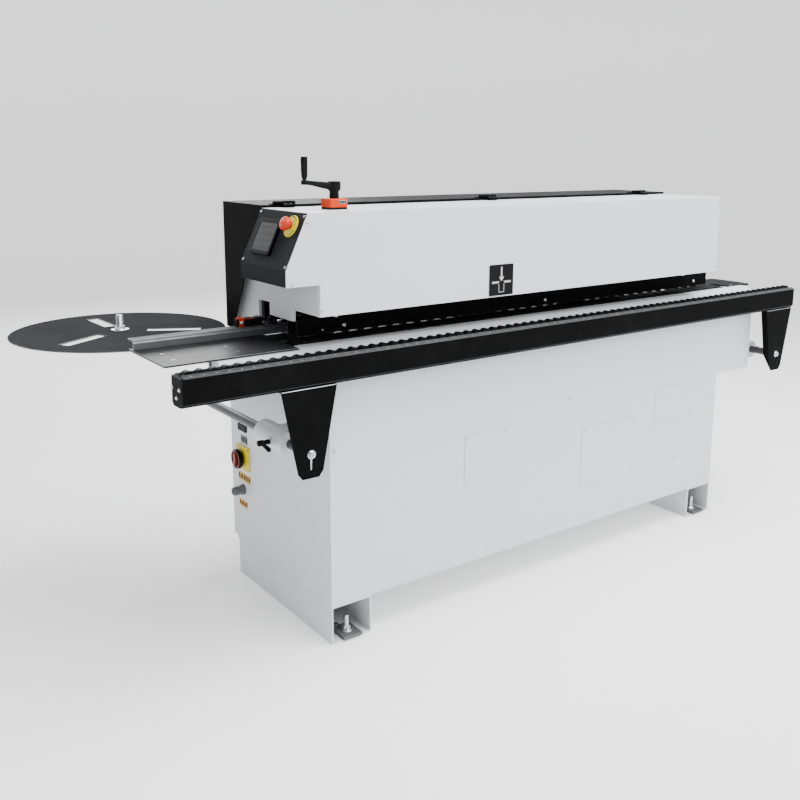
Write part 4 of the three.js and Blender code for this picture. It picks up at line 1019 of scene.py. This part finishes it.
def make_clamp_levers():
    for side, sign in (("left", -1), ("right", 1)):
        low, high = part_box(side + "_clamp_lever")
        hub = Vector(joint_named(side + "_lever_turn")["pos_m"])
        outer = low.x if sign < 0 else high.x
        length = 0.038
        face = outer - sign * length
        bm = bmesh.new()
        turned(bm, [(0, 0.0002), (0.0078, 0.0002), (0.0078, length * 0.25), (0.0070, length * 0.32),
                    (0.0070, length * 0.45), (0.0092, length * 0.58), (0.0096, length * 0.90),
                    (0.0082, length), (0, length)], place(Vector((face, hub.y, hub.z)), sign * X), 28)
        arm_x = face + sign * length * 0.74
        tip = low.y + 0.003
        bend_y = hub.y - 0.016
        droop = ((hub.y, 0), (bend_y, 0.001), ((bend_y + tip) / 2, 0.004), (tip + 0.005, 0.007),
                 (tip, 0.0075))
        path = [Vector((arm_x, y, hub.z - drop)) for y, drop in droop]
        swept(bm, path, [0.0072, 0.0056, 0.0066, 0.0074, 0.0050], 16)
        piece(side + "_clamp_handle", bm, side + "_lever", *moulded,
              side + "_clamp_lever")
        bm = bmesh.new()
        inner = high.x if sign < 0 else low.x
        reach = abs(face - inner)
        stud = 0.0052
        turned(bm, [(0, 0), (stud, 0), (stud, reach - 0.001), (stud * 0.85, reach), (0, reach)],
               place(Vector((face, hub.y, hub.z)), -sign * X), 20)
        piece(side + "_clamp_stud", bm, side + "_lever", steel, "steel")


# ---------------------------------------------------------------- tape coil stand
def make_coil_stand():
    softened("coil_plate", [disc_paint, plate_edge], "grey_plate", 0.0010)
    softened("coil_support", *casting, 0.0025)
    low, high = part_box("coil_spindle")
    plate_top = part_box("coil_plate")[1].z
    spot = Vector(((low.x + high.x) / 2, (low.y + high.y) / 2, plate_top))
    top = high.z - plate_top
    bottom = low.z - plate_top
    profile = [(0, bottom), (0.0280, bottom), (0.0280, bottom + 0.004), (0.0105, bottom + 0.004),
               (0.0105, 0.0003), (0.0275, 0.0003), (0.0282, 0.0010), (0.0282, 0.0038), (0.0272, 0.0046),
               (0.0180, 0.0046),
               (0.0168, 0.0050, 6), (0.0168, 0.0135, 6), (0.0140, 0.0148)]
    level = 0.0150
    while level < top - 0.004:
        profile += [(0.0100, level), (0.0108, level + 0.0006), (0.0108, level + 0.0010),
                    (0.0100, level + 0.0016)]
        level += 0.0022
    profile += [(0.0104, top - 0.0015), (0.0086, top), (0, top)]
    bm = bmesh.new()
    turned(bm, profile, place(spot, Z), 36)
    piece("coil_spindle_finished", bm, "coil", steel, "steel", "coil_spindle")
    low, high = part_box("coil_support")
    bm = bmesh.new()
    for y in (0.020, 0.060):
        bolt(bm, Vector(((low.x + high.x) / 2, low.y + y, low.z)), -Z, 0.0075, 0.006)
    piece("coil_arm_bolts", bm, "frame", steel, "steel")


# ---------------------------------------------------------------- fittings on the left end
def make_end_fittings():
    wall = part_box("lower_cabinet")[0].x
    axis = Vector(joint_named("main_switch_turn")["pos_m"])
    where = facing(Vector((wall, axis.y, axis.z)), -Y, Z, -X)
    bm = bmesh.new()
    extruded(bm, rounded(0.094, 0.086, 0.008), 0.0060, raised(where, 0, 0.012, 0.004))
    piece("switch_plate", bm, "frame", yellow, "yellow_plastic", bevel=0.0012)
    bm = bmesh.new()
    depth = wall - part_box("main_switch")[0].x
    turned(bm, [(0, 0.0064), (0.0210, 0.0064), (0.0210, 0.0130), (0.0336, 0.0150), (0.0345, 0.0165),
                (0.0345, 0.0275), (0.0332, 0.0292), (0.0255, 0.0292), (0.0240, 0.0278), (0, 0.0278)],
           where, 48)
    piece("switch_dial", bm, "main_switch", *moulded, "main_switch")
    bm = bmesh.new()
    turned(bm, [(0.0318, 0.0291), (0.0318, 0.0297), (0.0285, 0.0297), (0.0285, 0.0291)], where, 48,
           closed=True)
    handle = [(-0.0060, -0.0210), (-0.0025, -0.0228), (0.0025, -0.0228), (0.0060, -0.0210), (0.0075, 0),
              (0.0060, 0.0210), (0.0025, 0.0228), (-0.0025, 0.0228), (-0.0060, 0.0210), (-0.0075, 0)]
    extruded(bm, handle, depth - 0.0277, raised(where, 0.0275))
    piece("switch_handle", bm, "main_switch", dark_red, "red_plastic", bevel=0.0018, segments=3)
    bm = bmesh.new()
    for a in (-1, 1):
        for b in (-1, 1):
            screw(bm, where @ Vector((0.012 + a * 0.040, 0.004 + b * 0.036, 0.006)), -X, 0.0028, 0.0018)
    piece("switch_plate_screws", bm, "frame", cast, "steel")

    bm = bmesh.new()
    extruded(bm, rounded(0.062, 0.025, 0.003), 0.006, raised(where, 0, 0.008, 0.112))
    piece("vent_cover", bm, "frame", *moulded, bevel=0.0015)
    make_stickers(where)
    make_cable_gland(wall)


def make_stickers(where):
    """Plain stickers with a row of bars on each, placed across and up from the switch's axis."""
    film, bar_pitch = 0.0005, 0.014
    marks = bmesh.new()
    for name, across, up, width, height, material, slot in (
            ("rating_sticker", 0.017, 0.070, 0.050, 0.030, label_grey, "grey_plastic"),
            ("upper_sticker", 0.010, -0.0705, 0.092, 0.030, label_amber, "yellow_plastic"),
            ("lower_sticker", -0.004, -0.171, 0.064, 0.026, label_amber, "yellow_plastic")):
        bm = bmesh.new()
        spot = raised(where, 0, across, up)
        extruded(bm, rounded(width, height, 0.002, 3), film, spot)
        piece(name, bm, "frame", material, slot)
        bars = round(width / bar_pitch)
        for i in range(bars):
            bar = raised(spot, film, -width / 2 + (i + 0.5) * width / bars, 0.001 * (-1) ** i)
            extruded(marks, rounded(0.0090, height * 0.6, 0.001, 2), 0.0002, bar)
    piece("sticker_bars", marks, "frame", *moulded)


def make_cable_gland(wall):
    low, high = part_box("cable_gland")
    centre = Vector((wall, (low.y + high.y) / 2, (low.z + high.z) / 2))
    where = place(centre, -X)
    length = wall - low.x
    bm = bmesh.new()
    turned(bm, [(0.0066, 0.004), (0.0190, 0.0004), (0.0190, 0.0030), (0.0178, 0.0034), (0.0178, 0.0040, 6),
                (0.0178, 0.0112, 6), (0.0150, 0.0124), (0.0138, 0.0128), (0.0138, 0.0150),
                (0.0160, 0.0155, 6), (0.0160, 0.0290, 6), (0.0158, 0.0310), (0.0150, length - 0.004),
                (0.0136, length - 0.0008), (0.0092, length), (0.0070, length - 0.0012),
                (0.0066, length - 0.006)], where, 48, closed=True)
    piece("cable_gland_finished", bm, "frame", grey_plastic, "grey_plastic", "cable_gland")


# ---------------------------------------------------------------- working units under the hood
def make_working_units():
    softened("glue_pot", *casting, 0.0030)
    softened("edge_trim_unit", motor_paint, "motor_grey", 0.0025)
    softened("end_trim_carriage", motor_paint, "motor_grey", 0.0025)
    softened("buffing_motor", motor_paint, "motor_grey", 0.0025)
    softened("pressure_roller", rubber, "rubber", 0.0030)
    softened("glue_roller", steel, "steel", 0.0015)
    softened("buffing_wheel", rubber, "rubber", 0.0040)
    low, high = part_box("buffing_motor")
    bm = bmesh.new()
    spot = Vector(((low.x + high.x) / 2, low.y + 0.048, 0))
    for i in range(9):
        level = high.z - 0.012 - 0.010 * i
        fin = [(0.0485, level), (0.0520, level + 0.0008), (0.0520, level + 0.0022), (0.0485, level + 0.0030)]
        turned(bm, fin, place(spot), 40, closed=True)
    piece("buffing_motor_fins", bm, "frame", motor_paint, "motor_grey")


make_camera()
make_studio()
make_cove()
make_feet()
make_cabinet()
make_table()
make_feed_chain()
make_fence()
make_hood()
make_control_panel()
make_rear_cover()
make_height_setting()
make_crank()
make_rail()
make_legs()
make_clamp_levers()
make_coil_stand()
make_end_fittings()
make_working_units()
